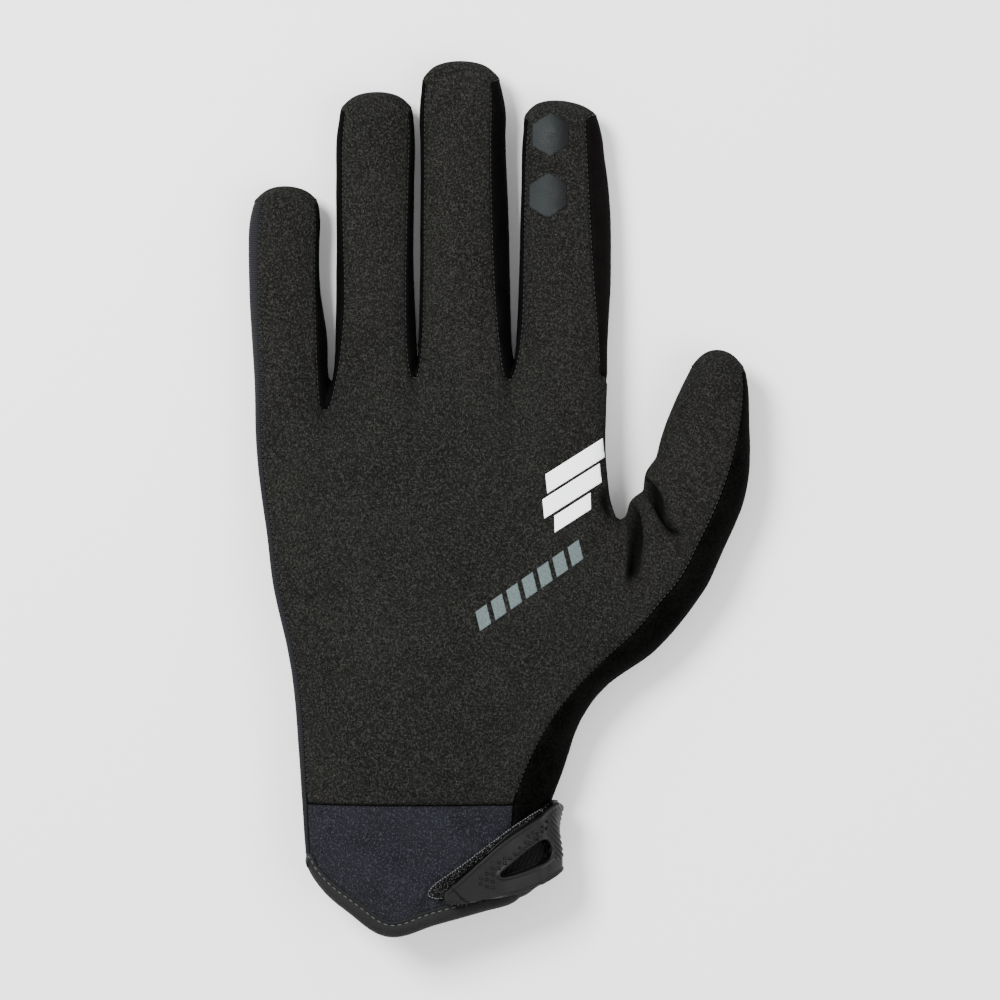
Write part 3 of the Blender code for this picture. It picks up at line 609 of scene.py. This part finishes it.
# Waviness of the cloth: two sizes of noise in mm with their seeds and shares
unevenness = {"layers": ((13, 1, 0.75), (5, 2, 0.25)), "shift": (7.3, 3.1, 1.7)}


def wavesAt(places):
    total = 0.0
    for size, seed, share in unevenness["layers"]:
        shift = Vector([seed * step for step in unevenness["shift"]])
        total += np.array([noise.noise(Vector(place) / size + shift) for place in places]) * share
    return total


def panel(levels, turn, wave, look, folds=0.0):
    # Subdivision levels, how far the cut edge turns in, waviness, look, strength of the folds
    return {"levels": levels, "turn": turn, "wave": wave, "look": look, "folds": folds}


panels = {
    "palm_panel": panel(3, 0.35, 0.34, "suede", folds=1.0),
    "fourchette_little_ring": panel(2, 0.2, 0.2, "fingerSide"),
    "fourchette_ring_middle": panel(2, 0.2, 0.2, "fingerSide"),
    "fourchette_middle_index": panel(2, 0.2, 0.2, "fingerSide"),
    "little_side_panel": panel(2, 0.2, 0.15, "ribbed"),
    "index_side_panel": panel(2, 0.2, 0.2, "indexSide"),
    "thumb_side_panel": panel(2, 0.2, 0.35, "thumbSide", folds=0.6),
    "back_panel": panel(2, 0.2, 0.12, "back"),
    "cuff_palm_panel": panel(3, 0.2, 0.3, "knit"),
    "cuff_back_panel": panel(2, 0.2, 0.3, "knit"),
}
clothWall = 1.5
lying = {"touch": 0.3, "free": 2.0}      # cloth lower than this lies flat, and waves fully further up
foldFacing = 2.2                         # how soon a fold ends where the palm turns to its side


def makePanel(name, plan):
    piece = subdivided(newObject(name.replace("_panel", "") + "_cloth", outerSkin(name)), plan["levels"])
    places, normals = readPoints(piece)
    free = np.clip((places[:, 2] - lying["touch"]) / lying["free"], 0, 1)
    drop = plan["wave"] * wavesAt(places) * free
    if plan["folds"]:
        facing = np.clip(normals[:, 2] * foldFacing, 0, 1)
        sunk, creaseShade = foldDrop(places)
        drop += plan["folds"] * sunk * facing
        # painted shade of the deep folds, which the suede reads as the fold attribute
        piece.data.attributes.new("fold", "FLOAT", "POINT").data.foreach_set("value", creaseShade * facing)
    rim = sorted(rimVertices(piece))
    drop[rim] = np.maximum(drop[rim], 0.0) + plan["turn"]
    drop[places[:, 2] < lying["touch"]] = 0.0
    writePoints(piece, filledOut(places, normals) - normals * drop[:, None])
    walled(piece, clothWall)
    return finished(piece, plan["look"], name, name)


cloth = {name: makePanel(name, plan) for name, plan in panels.items()}
print("panels made:", {name: len(piece.data.polygons) for name, piece in cloth.items()})


def treeOf(piece):
    points = [vertex.co / mm for vertex in piece.data.vertices]
    return BVHTree.FromPolygons(points, [tuple(face.vertices) for face in piece.data.polygons])


rays = {"from": 60.0, "beside": 12.0}    # heights: a ray's start, and where a miss looks for the skin


def onSkin(tree, across, along, lift):
    # Place and normal on a skin under a point of the palm's plan, in mm
    place, normal, face, distance = tree.ray_cast(Vector((across, along, rays["from"])), Vector((0, 0, -1)))
    if place is None:
        place, normal, face, distance = tree.find_nearest(Vector((across, along, rays["beside"])))
    return place + normal * lift, normal


def threads(name, stitches, radius, look, slot, rounds=1):
    # Stitches, each a slim bead between two places in mm
    shape = bmesh.new()
    for start, end in stitches:
        run = end - start
        turn = run.to_track_quat("X", "Z").to_matrix().to_4x4()
        made = bmesh.ops.create_icosphere(shape, subdivisions=rounds, radius=1.0)["verts"]
        bmesh.ops.scale(shape, verts=made, vec=((run.length / 2 + radius) * mm, radius * mm, radius * mm))
        bmesh.ops.transform(shape, verts=made, matrix=turn)
        bmesh.ops.translate(shape, verts=made, vec=(start + end) / 2 * mm)
    return finished(newObject(name, shape), look, slot)


def resampled(places, step, closed=False):
    # Even steps along a row of places, with the run's direction at each
    row = list(places) + ([places[0]] if closed else [])
    lengths = [0.0]
    for a, b in zip(row, row[1:]):
        lengths.append(lengths[-1] + (b - a).length)
    count = max(2, round(lengths[-1] / step))
    result = []
    k = 0
    for number in range(count if closed else count + 1):
        want = lengths[-1] * number / count
        while k < len(row) - 2 and lengths[k + 1] < want:
            k += 1
        share = (want - lengths[k]) / max(1e-9, lengths[k + 1] - lengths[k])
        result.append((row[k].lerp(row[k + 1], share), (row[k + 1] - row[k]).normalized()))
    return result


def stitchRow(line, step, length):
    # Evenly spaced stitches along a closed line, each as its two ends
    half = length / 2
    return [(place - run * half, place + run * half) for place, run in resampled(line, step, closed=True)]


# Cuff binding: a tape folded over the cuff's edge, with a sewn groove near its upper lip
binding = {
    "edges": ("cuff_palm_panel", "cuff_back_panel", "thumb_side_panel", "little_side_panel"),
    "reach": 1.6,            # how near the CAD binding a cloth edge lies to belong to the mouth
    "flatness": 3,           # the mouth is about this many times wider than high
    "apart": 1.0,
    "step": 0.7,
    "smoothed": 8,           # rounds that even out the mouth's line
    "evened": 24,            # rounds that even out the section's turning at the corners
    "stitch": 2.0,
    "stitchLength": 0.95,
    "stitchRadius": 0.17,
    "groove": (-0.3, 0.42),
    "section": (             # down from the cloth's edge, out from the cloth's face
        (0.25, -0.70), (-0.10, 0.02), (-1.30, 0.06), (-1.42, 0.30), (-1.25, 0.56), (-0.85, 0.62),
        (-0.45, 0.34), (-0.15, 0.32), (0.15, 0.62), (0.80, 0.88), (1.80, 0.98), (2.80, 0.70),
        (3.50, 0.10), (3.75, -0.75), (3.50, -1.60), (2.80, -2.20), (1.80, -2.46), (0.80, -2.38),
        (-0.20, -2.20), (-1.00, -2.06), (-1.05, -1.70), (-0.10, -1.62),
    ),
}


def mouthLoop():
    # The mouth's line with its run, outward and downward directions
    shape = mergedShape("cuff_binding")
    tree = BVHTree.FromBMesh(shape)
    shape.free()
    found = []
    for name in binding["edges"]:
        piece = cloth[name]
        for i in rimVertices(piece):
            vertex = piece.data.vertices[i]
            if tree.find_nearest(vertex.co)[3] < binding["reach"] * mm:
                found.append((vertex.co / mm, vertex.normal.copy()))
    middle = sum((place for place, normal in found), Vector()) / len(found)

    def bearing(item):
        return math.atan2((item[0].z - middle.z) * binding["flatness"], item[0].x - middle.x)

    found.sort(key=bearing)
    thinned = [found[0]]
    for item in found[1:]:
        if (item[0] - thinned[-1][0]).length > binding["apart"]:
            thinned.append(item)
    places = [place for place, normal in thinned]
    even = [place for place, run in resampled(places, binding["step"], closed=True)]
    tree = KDTree(len(thinned))
    for number, place in enumerate(places):
        tree.insert(place, number)
    tree.balance()
    normals = [thinned[tree.find(place)[1]][1] for place in even]
    for _ in range(binding["smoothed"]):
        even = [(even[k - 1] + even[k] * 2 + even[(k + 1) % len(even)]) / 4 for k in range(len(even))]
        normals = [(normals[k - 1] + normals[k] * 2 + normals[(k + 1) % len(even)]).normalized()
                   for k in range(len(even))]
    loop = []
    for k, place in enumerate(even):
        run = (even[(k + 1) % len(even)] - even[k - 1]).normalized()
        out = (normals[k] - run * normals[k].dot(run)).normalized()
        down = run.cross(out)
        if down.y > 0:
            down = -down
        loop.append((place, run, out, down))
    for _ in range(binding["evened"]):
        loop = [(place, run, (loop[k - 1][2] + out + loop[(k + 1) % len(loop)][2]).normalized(),
                 (loop[k - 1][3] + down + loop[(k + 1) % len(loop)][3]).normalized())
                for k, (place, run, out, down) in enumerate(loop)]
    return loop


def makeBinding():
    loop = mouthLoop()
    shape = bmesh.new()
    rings = []
    for place, run, out, down in loop:
        rings.append([shape.verts.new((place + down * d + out * o) * mm) for d, o in binding["section"]])
    count = len(binding["section"])
    for one, two in zip(rings, rings[1:] + rings[:1]):
        for k in range(count):
            shape.faces.new((one[k], one[(k + 1) % count], two[(k + 1) % count], two[k]))
    bmesh.ops.recalc_face_normals(shape, faces=shape.faces)
    smoothed(finished(newObject("binding_tape", shape), "binding", "cuff_binding", "cuff_binding"), 1)
    down, out = binding["groove"]
    line = [place + d * down + o * out for place, run, o, d in loop]
    stitches = stitchRow(line, binding["stitch"], binding["stitchLength"])
    threads("binding_stitches", stitches, binding["stitchRadius"], "paleThread", "cuff_binding", 2)
    return len(loop)


print("binding made:", makeBinding(), "sections")


def addTube(shape, row, radius, sides=3):
    # A tube along places in mm, half as thick at its end
    rings = []
    for k, place in enumerate(row):
        run = (row[min(k + 1, len(row) - 1)] - row[max(k - 1, 0)]).normalized()
        across = run.orthogonal().normalized()
        other = run.cross(across)
        slim = radius * (1.0 if k < len(row) - 1 else 0.5)
        ring = []
        for side in range(sides):
            turn = math.tau * side / sides
            corner = place + (across * math.cos(turn) + other * math.sin(turn)) * slim
            ring.append(shape.verts.new(corner * mm))
        rings.append(ring)
    for one, two in zip(rings, rings[1:]):
        for k in range(sides):
            shape.faces.new((one[k], one[(k + 1) % sides], two[(k + 1) % sides], two[k]))
    shape.faces.new(list(reversed(rings[0])))
    shape.faces.new(rings[-1])


def rimLoops(piece):
    # Closed rows of vertices along a cloth's cut edges
    after = {}
    count = {}
    for face in piece.data.polygons:
        corners = list(face.vertices)
        for a, b in zip(corners, corners[1:] + corners[:1]):
            key = (min(a, b), max(a, b))
            count.setdefault(key, []).append((a, b))
    for uses in count.values():
        if len(uses) == 1:
            after[uses[0][0]] = uses[0][1]
    loops = []
    while after:
        start = next(iter(after))
        loop = [start]
        nextOne = after.pop(start)
        while nextOne != start and nextOne in after:
            loop.append(nextOne)
            nextOne = after.pop(nextOne)
        loops.append(loop)
    return loops


# Dark turned-in cloth that closes the bottom of each seam
welt = {
    "panels": ("palm_panel", "back_panel", "cuff_palm_panel", "cuff_back_panel"),
    "radius": 0.62,
    "depth": 0.85,
    "step": 1.2,
    "sides": 6,
}


def makeWelts():
    shape = bmesh.new()
    radius = welt["radius"]
    for name in welt["panels"]:
        vertices = cloth[name].data.vertices
        for loop in rimLoops(cloth[name]):
            line = [vertices[i].co / mm - vertices[i].normal * welt["depth"] for i in loop]
            even = resampled(line, welt["step"], closed=True)
            row = [Vector((place.x, place.y, max(place.z, radius))) for place, run in even]
            addTube(shape, row + row[:1], radius, welt["sides"])
    finished(newObject("seam_welts", shape), "fingerSide", "back_panel")


# Seam along the suede's cut edge, down to the cuff: a row of dark stitches in the groove
seam = {"stitch": 1.45, "length": 1.0, "radius": 0.22, "out": 0.1, "sink": 0.05, "cuffSeam": -83.0}


def makeSeam():
    piece = cloth["palm_panel"]
    vertices = piece.data.vertices
    stitches = []
    half = seam["length"] / 2
    for loop in rimLoops(piece):
        line = []
        for k, i in enumerate(loop):
            run = (vertices[loop[(k + 1) % len(loop)]].co - vertices[loop[k - 1]].co).normalized()
            normal = vertices[i].normal
            line.append(vertices[i].co / mm + run.cross(normal) * seam["out"] - normal * seam["sink"])
        for place, run in resampled(line, seam["stitch"], closed=True):
            if place.y > seam["cuffSeam"]:
                stitches.append((place - run * half, place + run * half))
    threads("palm_seam_stitches", stitches, seam["radius"], "darkThread", "palm_panel")
    return len(stitches)


makeWelts()
print("seam stitches:", makeSeam())


# The closure stands nearer to the lens than the palm, and its edges are nudged to where they are
# seen: a pixel, how far the nudge reaches, the shift across and along
closureNudges = {
    "closure_strap": (
        ((430, 902), 9.0, (0.1, 2.2)),
        ((480, 858), 12.0, (0.0, 1.4)),
        ((513, 833), 12.0, (0.0, 1.0)),
        ((556, 806), 9.0, (-0.6, 0.6)),
    ),
    "closure_tab": (
        ((446, 904), 6.0, (0.3, 1.7)),
        ((462, 912), 6.0, (0.0, 1.3)),
        ((470, 886), 6.0, (-0.5, 2.7)),
        ((490, 866), 6.0, (-0.7, 2.6)),
        ((512, 847), 6.0, (-0.8, 2.7)),
        ((532, 831), 6.0, (-0.5, 2.2)),
        ((552, 808), 5.0, (-0.3, 1.6)),
        ((563, 807), 4.0, (-1.2, 1.4)),
        ((515, 899), 6.0, (0.0, 1.5)),
        ((538, 891), 6.0, (0.0, 1.4)),
        ((555, 880), 5.0, (0.8, 1.4)),
        ((563, 860), 5.0, (0.0, 1.3)),
        ((503, 881), 4.0, (-1.2, 1.0)),
        ((525, 862), 4.0, (-0.3, 2.1)),
        ((544, 846), 4.0, (0.5, 2.0)),
        ((549, 858), 3.5, (1.5, 0.9)),
        ((526, 875), 4.0, (0.0, 1.1)),
    ),
}
# Heights over which a nudge grows, and the most that it lifts or sinks, in mm
layBelow = {"start": 11.0, "full": 15.0, "most": 1.0}


def slopeTerms(places):
    across = places[:, 0]
    along = places[:, 1]
    return np.stack([np.ones(len(places)), across, along, across ** 2, across * along, along ** 2], axis=1)


def nudged(places, name):
    # Moves a closure layer along the glove, up or down its own even slope
    total = np.zeros((len(places), 2))
    weight = np.full(len(places), 1e-6)
    for pixel, reach, shift in closureNudges[name]:
        gone = np.linalg.norm(places[:, :2] - np.array(spot(*pixel)), axis=1) / reach
        near = np.exp(-gone ** 2)
        total += near[:, None] * np.array(shift)
        weight += near
    low, high = layBelow["start"], layBelow["full"]
    share = np.clip((places[:, 2] - low) / (high - low), 0, 1)
    moved = places.copy()
    moved[:, :2] += total / weight[:, None] * share[:, None]
    upper = places[:, 2] > high
    slope = np.linalg.lstsq(slopeTerms(places[upper]), places[upper, 2], rcond=None)[0]
    rise = (slopeTerms(moved) - slopeTerms(places)) @ slope
    moved[:, 2] += np.clip(rise, -layBelow["most"], layBelow["most"]) * share
    return moved


# Strap: a coarse hook fleece with a pale overlocked edge, in fine ribs under the tab's window
strap = {
    "wall": 0.9,
    "levels": 2,
    "turn": 0.2,
    "hooks": 3400,
    "bareEdge": ((440, 903), (556, 806)),    # below this line the upper side is bare
    "upward": 0.3,
    "lowestHook": 2.0,
    "hookLength": (0.6, 1.25),
    "hookRadius": 0.10,
    "hookBends": 4,
    "hookCurl": 0.75,        # of half a turn
    "hookRise": 0.55,
    "hookLean": 0.45,
    "edgeStitch": 0.85,
    "edgeLength": 0.5,
    "edgeRadius": 0.13,
    "edgeLift": 0.12,
}


def hookRow(place, normal, lean, length):
    # A small hook that rises from the cloth and bends over
    row = []
    for k in range(strap["hookBends"] + 1):
        turn = math.pi * strap["hookCurl"] * k / strap["hookBends"]
        rise = normal * math.sin(turn) * length * strap["hookRise"]
        row.append(place + rise + lean * (1 - math.cos(turn)) * length * strap["hookLean"])
    return row


def makeStrap():
    piece = subdivided(newObject("strap_sheet", outerSkin("closure_strap")), strap["levels"])
    places, normals = readPoints(piece)
    rim = sorted(rimVertices(piece))
    places[rim] -= normals[rim] * strap["turn"]
    writePoints(piece, nudged(places, "closure_strap"))
    walled(piece, strap["wall"])
    finished(piece, "strap", "closure_strap", "closure_strap")
    faces = list(piece.data.polygons)
    weights = [face.area for face in faces]
    vertices = piece.data.vertices
    shape = bmesh.new()
    edgeStart, edgeEnd = (Vector(spot(*pixel)) for pixel in strap["bareEdge"])
    edgeRun = edgeEnd - edgeStart
    for face in random.choices(faces, weights, k=strap["hooks"]):
        corners = [vertices[i].co / mm for i in face.vertices]
        share = [random.random() for _ in corners]
        place = sum((c * w for c, w in zip(corners, share)), Vector()) / sum(share)
        normal = face.normal
        bare = normal.z > strap["upward"] and edgeRun.cross(place.xy - edgeStart) < 0
        if place.z < strap["lowestHook"] or bare:
            continue          # smooth ribs under the tab, in its window and against the floor
        lean = Vector((random.gauss(0, 1), random.gauss(0, 1), random.gauss(0, 1)))
        lean = (lean - normal * lean.dot(normal)).normalized()
        length = random.uniform(*strap["hookLength"])
        addTube(shape, hookRow(place, normal, lean, length), strap["hookRadius"])
    finished(newObject("strap_hooks", shape), "fuzz", "closure_strap")
    stitches = []
    for loop in rimLoops(piece):
        line = [vertices[i].co / mm + vertices[i].normal * strap["edgeLift"] for i in loop]
        stitches += stitchRow(line, strap["edgeStitch"], strap["edgeLength"])
    threads("strap_edge_stitches", stitches, strap["edgeRadius"], "edgeThread", "closure_strap")
    return len(stitches)


print("strap made, edge stitches:", makeStrap())


# Tab: raised rims, a raised plate from the tip, grip dots and ridges round the thumb edge
tab = {
    "wall": 2.5,
    "levels": 4,
    "turn": 0.35,
    "height": 21.5,          # of its upper face over the floor
    "side": 15.0,            # below this height it has turned down round the thumb edge
    "rim": 0.30,             # height of the raised rims
    "rimWidth": 1.1,
    "plate": 0.42,
    "plateRamp": 0.3,
    "plateFade": 2.0,
    "grooveWidth": 0.35,     # of the line round the plate
    "grooveDepth": 0.25,
    "plateEdge": (
        (456, 891), (460, 896), (465, 899), (471, 901), (482, 900), (500, 896), (520, 891), (540, 885),
    ),
    "ridges": 0.42,
    "ridgePitch": 1.25,
    "ridgeFade": 1.5,
    "ridgeFoot": 1.2,        # distance from the rim where they are full
    "ridgeRun": (0.6, 0.8),  # across and along
    "ridgeTilt": 0.6,        # how far they go on down the side
    "ridgeStart": spot(546, 840)[0],
    "ridgeEnd": spot(546, 858)[1],
    "dotRadius": 0.45,
    "dotLift": 0.2,
    "dotSquash": 0.9,
    "dots": (
        (481, 877), (481, 882), (487, 872), (487, 878), (487, 885), (493, 867), (493, 873), (493, 880),
        (493, 886), (499, 861), (499, 867), (505, 857), (505, 862), (510, 857), (515, 853), (520, 853),
        (520, 847), (526, 848), (526, 842), (530, 843), (529, 836), (535, 838), (533, 832), (539, 839),
        (538, 834), (543, 827), (543, 832), (548, 822), (547, 829), (452, 902), (458, 902),
    ),
}


def seenAt(pixel, height):
    # The place at a height that the lens sees at a pixel of the photograph
    nearer = 1 - (height - outlineHeight) / lensDistance
    across, along = spot(*pixel)
    middle = spot(*photo["middle"])
    return (middle[0] + (across - middle[0]) * nearer, middle[1] + (along - middle[1]) * nearer)


def rimAndRidges(place, gone):
    # Height over the skin at a place, gone millimetres away from the rim
    rise = tab["rim"] * max(0.0, 1 - (gone / tab["rimWidth"]) ** 4)
    past = place[0] - tab["ridgeStart"]
    beyond = place[1] - tab["ridgeEnd"]
    onTop = place[2] >= tab["side"]
    if beyond > 0 and (past > 0 or not onTop):
        fade = min(1.0, max(past, 0.0) / tab["ridgeFade"]) if onTop else 1.0
        fade *= min(1.0, beyond) * min(1.0, gone / tab["ridgeFoot"])
        across, along = tab["ridgeRun"]
        way = place[1] * along + (place[0] - place[2] * tab["ridgeTilt"]) * across
        rise += tab["ridges"] * fade * (0.5 + 0.5 * math.cos(math.tau * way / tab["ridgePitch"]))
    return rise


def plateRise(places):
    # The plate lies to the left of its edge's path, with a fine groove along the edge
    edge = np.array([seenAt(pixel, tab["height"]) for pixel in tab["plateEdge"]])
    nearest, side, along = nearPath(places[:, :2], edge)
    reach = np.clip(1 - (places[:, 0] - edge[-1][0]) / tab["plateFade"], 0, 1) * (places[:, 2] > tab["side"])
    plate = np.where(side < 0, 1.0, 0.0) * reach * np.clip(nearest / tab["plateRamp"], 0, 1)
    groove = np.clip(1 - nearest / tab["grooveWidth"], 0, 1)
    return tab["plate"] * plate - tab["grooveDepth"] * groove * reach


def makeTab():
    piece = subdivided(newObject("tab_moulding", outerSkin("closure_tab")), tab["levels"])
    places, normals = readPoints(piece)
    places = nudged(places, "closure_tab")
    rim = sorted(rimVertices(piece))
    tree = KDTree(len(rim))
    for i in rim:
        tree.insert(places[i], i)
    tree.balance()
    raised = np.array([rimAndRidges(place, tree.find(place)[2]) for place in places]) + plateRise(places)
    places += normals * raised[:, None]
    places[rim] -= normals[rim] * (tab["turn"] + raised[rim][:, None])
    writePoints(piece, places)
    walled(piece, tab["wall"])
    finished(piece, "rubber", "closure_tab", "closure_tab")
    skin = treeOf(piece)
    shape = bmesh.new()
    for pixel in tab["dots"]:
        place, normal = onSkin(skin, *seenAt(pixel, tab["height"]), tab["dotLift"])
        made = bmesh.ops.create_icosphere(shape, subdivisions=2, radius=tab["dotRadius"] * mm)["verts"]
        bmesh.ops.scale(shape, verts=made, vec=(1, 1, tab["dotSquash"]))
        bmesh.ops.transform(shape, verts=made, matrix=normal.to_track_quat("Z", "Y").to_matrix().to_4x4())
        bmesh.ops.translate(shape, verts=made, vec=place * mm)
    finished(newObject("tab_dots", shape), "rubber", "closure_tab")
    return len(piece.data.polygons)


print("tab made:", makeTab(), "faces,", len(tab["dots"]), "dots")


# Prints: thin patches that follow the suede
prints = {"step": 0.6, "margin": 0.5, "lift": 0.10, "wall": 0.22}
hexagons = {"grip_hexagon_1": ((550.5, 136), 6.25), "grip_hexagon_2": ((548.0, 196.5), 6.4)}
hexagonWidth = 0.94          # a little narrower than an even one
white = {"slant": 1.2, "bars": (
    # start and end in photo pixels, width in mm
    ((546, 484), (603, 448), 4.8), ((543, 509), (600, 473), 4.8), ((554, 524), (590, 501), 4.0),
)}
grey = {"count": 7, "start": (478, 620), "pitch": (15.2, -10.6), "run": (11, -7.7), "width": 5.2,
        "slant": 1.0}


def addPatch(shape, corners, tree):
    # A grid cut to a convex outline in mm, laid on the skin
    low = np.min(corners, axis=0) - prints["margin"]
    high = np.max(corners, axis=0) + prints["margin"]
    middle = (low + high) / 2
    half = (high - low) / 2
    part = bmesh.new()
    count = [max(2, int(2 * h / prints["step"])) for h in half]
    bmesh.ops.create_grid(part, x_segments=count[0], y_segments=count[1], size=1.0)
    bmesh.ops.scale(part, verts=part.verts, vec=(half[0], half[1], 1))
    bmesh.ops.translate(part, verts=part.verts, vec=(middle[0], middle[1], 0))
    centre = np.mean(corners, axis=0)
    for a, b in zip(corners, np.roll(corners, -1, axis=0)):
        outward = np.array((b[1] - a[1], a[0] - b[0]))
        if outward @ (centre - a) > 0:
            outward = -outward
        bmesh.ops.bisect_plane(part, geom=part.verts[:] + part.edges[:] + part.faces[:],
                               plane_co=(*a, 0), plane_no=(*outward, 0), clear_outer=True)
    for vertex in part.verts:
        place, normal = onSkin(tree, vertex.co.x, vertex.co.y, prints["lift"])
        vertex.co = place * mm
    mesh = bpy.data.meshes.new("patch")
    part.to_mesh(mesh)
    part.free()
    shape.from_mesh(mesh)
    bpy.data.meshes.remove(mesh)


def makePrint(name, outlines, look, slot, tree, *replaced):
    shape = bmesh.new()
    for corners in outlines:
        addPatch(shape, np.array(corners), tree)
    walled(finished(newObject(name, shape), look, slot, *replaced), prints["wall"])


def bar(start, end, width, slant):
    # Slanted bar between two pixels: its long sides are parallel and its ends lean
    start = np.array(spot(*start))
    end = np.array(spot(*end))
    run = (end - start) / np.linalg.norm(end - start)
    side = np.array((-run[1], run[0])) * width / 2
    lean = run * slant
    return (start - side - lean, end - side - lean, end + side + lean, start + side + lean)


def greyBar(number):
    start = [grey["start"][axis] + grey["pitch"][axis] * number for axis in (0, 1)]
    end = [start[axis] + grey["run"][axis] for axis in (0, 1)]
    return bar(start, end, grey["width"], grey["slant"])


def hexagon(pixel, radius):
    turns = [math.tau * k / 6 for k in range(6)]
    return [np.array(spot(*pixel)) + radius * np.array((math.sin(turn) * hexagonWidth, math.cos(turn)))
            for turn in turns]


palmTree = treeOf(cloth["palm_panel"])
for name, (pixel, radius) in hexagons.items():
    makePrint(name.replace("grip", "printed"), [hexagon(pixel, radius)], "print", name, palmTree, name)
whiteBars = [bar(start, end, width, white["slant"]) for start, end, width in white["bars"]]
makePrint("white_bars", whiteBars, "white", "palm_panel", palmTree)
makePrint("grey_bars", [greyBar(number) for number in range(grey["count"])], "grey", "palm_panel", palmTree)
print("prints made")


# Pale floor and soft light
stage = {
    "floor": 3.0,            # metres from the middle to a side
    "drop": 0.0003,          # keeps the floor clear of the glove's underside
    "clouds": 300,
    "world": 1.3,
    "lamps": (
        # name, place, size, power
        ("key", (-0.55, 0.45, 0.95), 0.45, 30.0),
        ("fill", (0.70, -0.25, 0.90), 0.8, 8.0),
    ),
}


def makeStage():
    shape = bmesh.new()
    bmesh.ops.create_grid(shape, x_segments=1, y_segments=1, size=stage["floor"])
    floor = newObject("floor", shape, smooth=False)
    floor.location.z = -stage["drop"]
    paper = Look("floor paper", 0.9, specular=0.1)
    clouds = paper.cloud(paper.place(), stage["clouds"])
    floor.data.materials.append(paper.finish(paper.mix(clouds, *tones["floor"])))
    world = bpy.data.worlds.new("studio")
    world.use_nodes = True
    sky = world.node_tree.nodes["Background"].inputs
    sky["Color"].default_value = (1, 1, 1, 1)
    sky["Strength"].default_value = stage["world"]
    scene.world = world
    for name, place, size, power in stage["lamps"]:
        light = bpy.data.lights.new(name, "AREA")
        light.shape = "DISK"
        light.size = size
        light.energy = power
        lamp = bpy.data.objects.new(name, light)
        lamp.location = place
        lamp.rotation_euler = (-Vector(place)).to_track_quat("-Z", "Y").to_euler()
        scene.collection.objects.link(lamp)


def makeCamera():
    # The photograph's 1000 pixels cover 284 mm at the height of the glove's widest outline
    setting = bpy.data.cameras.new("camera")
    setting.lens = lens["length"]
    setting.sensor_width = lens["sensor"]
    setting.clip_start = lens["nearest"]
    camera = bpy.data.objects.new("camera", setting)
    across, along = spot(*photo["middle"])
    camera.location = Vector((across, along, outlineHeight + lensDistance)) * mm
    scene.collection.objects.link(camera)
    scene.camera = camera


makeStage()
makeCamera()
print("stage and camera made")
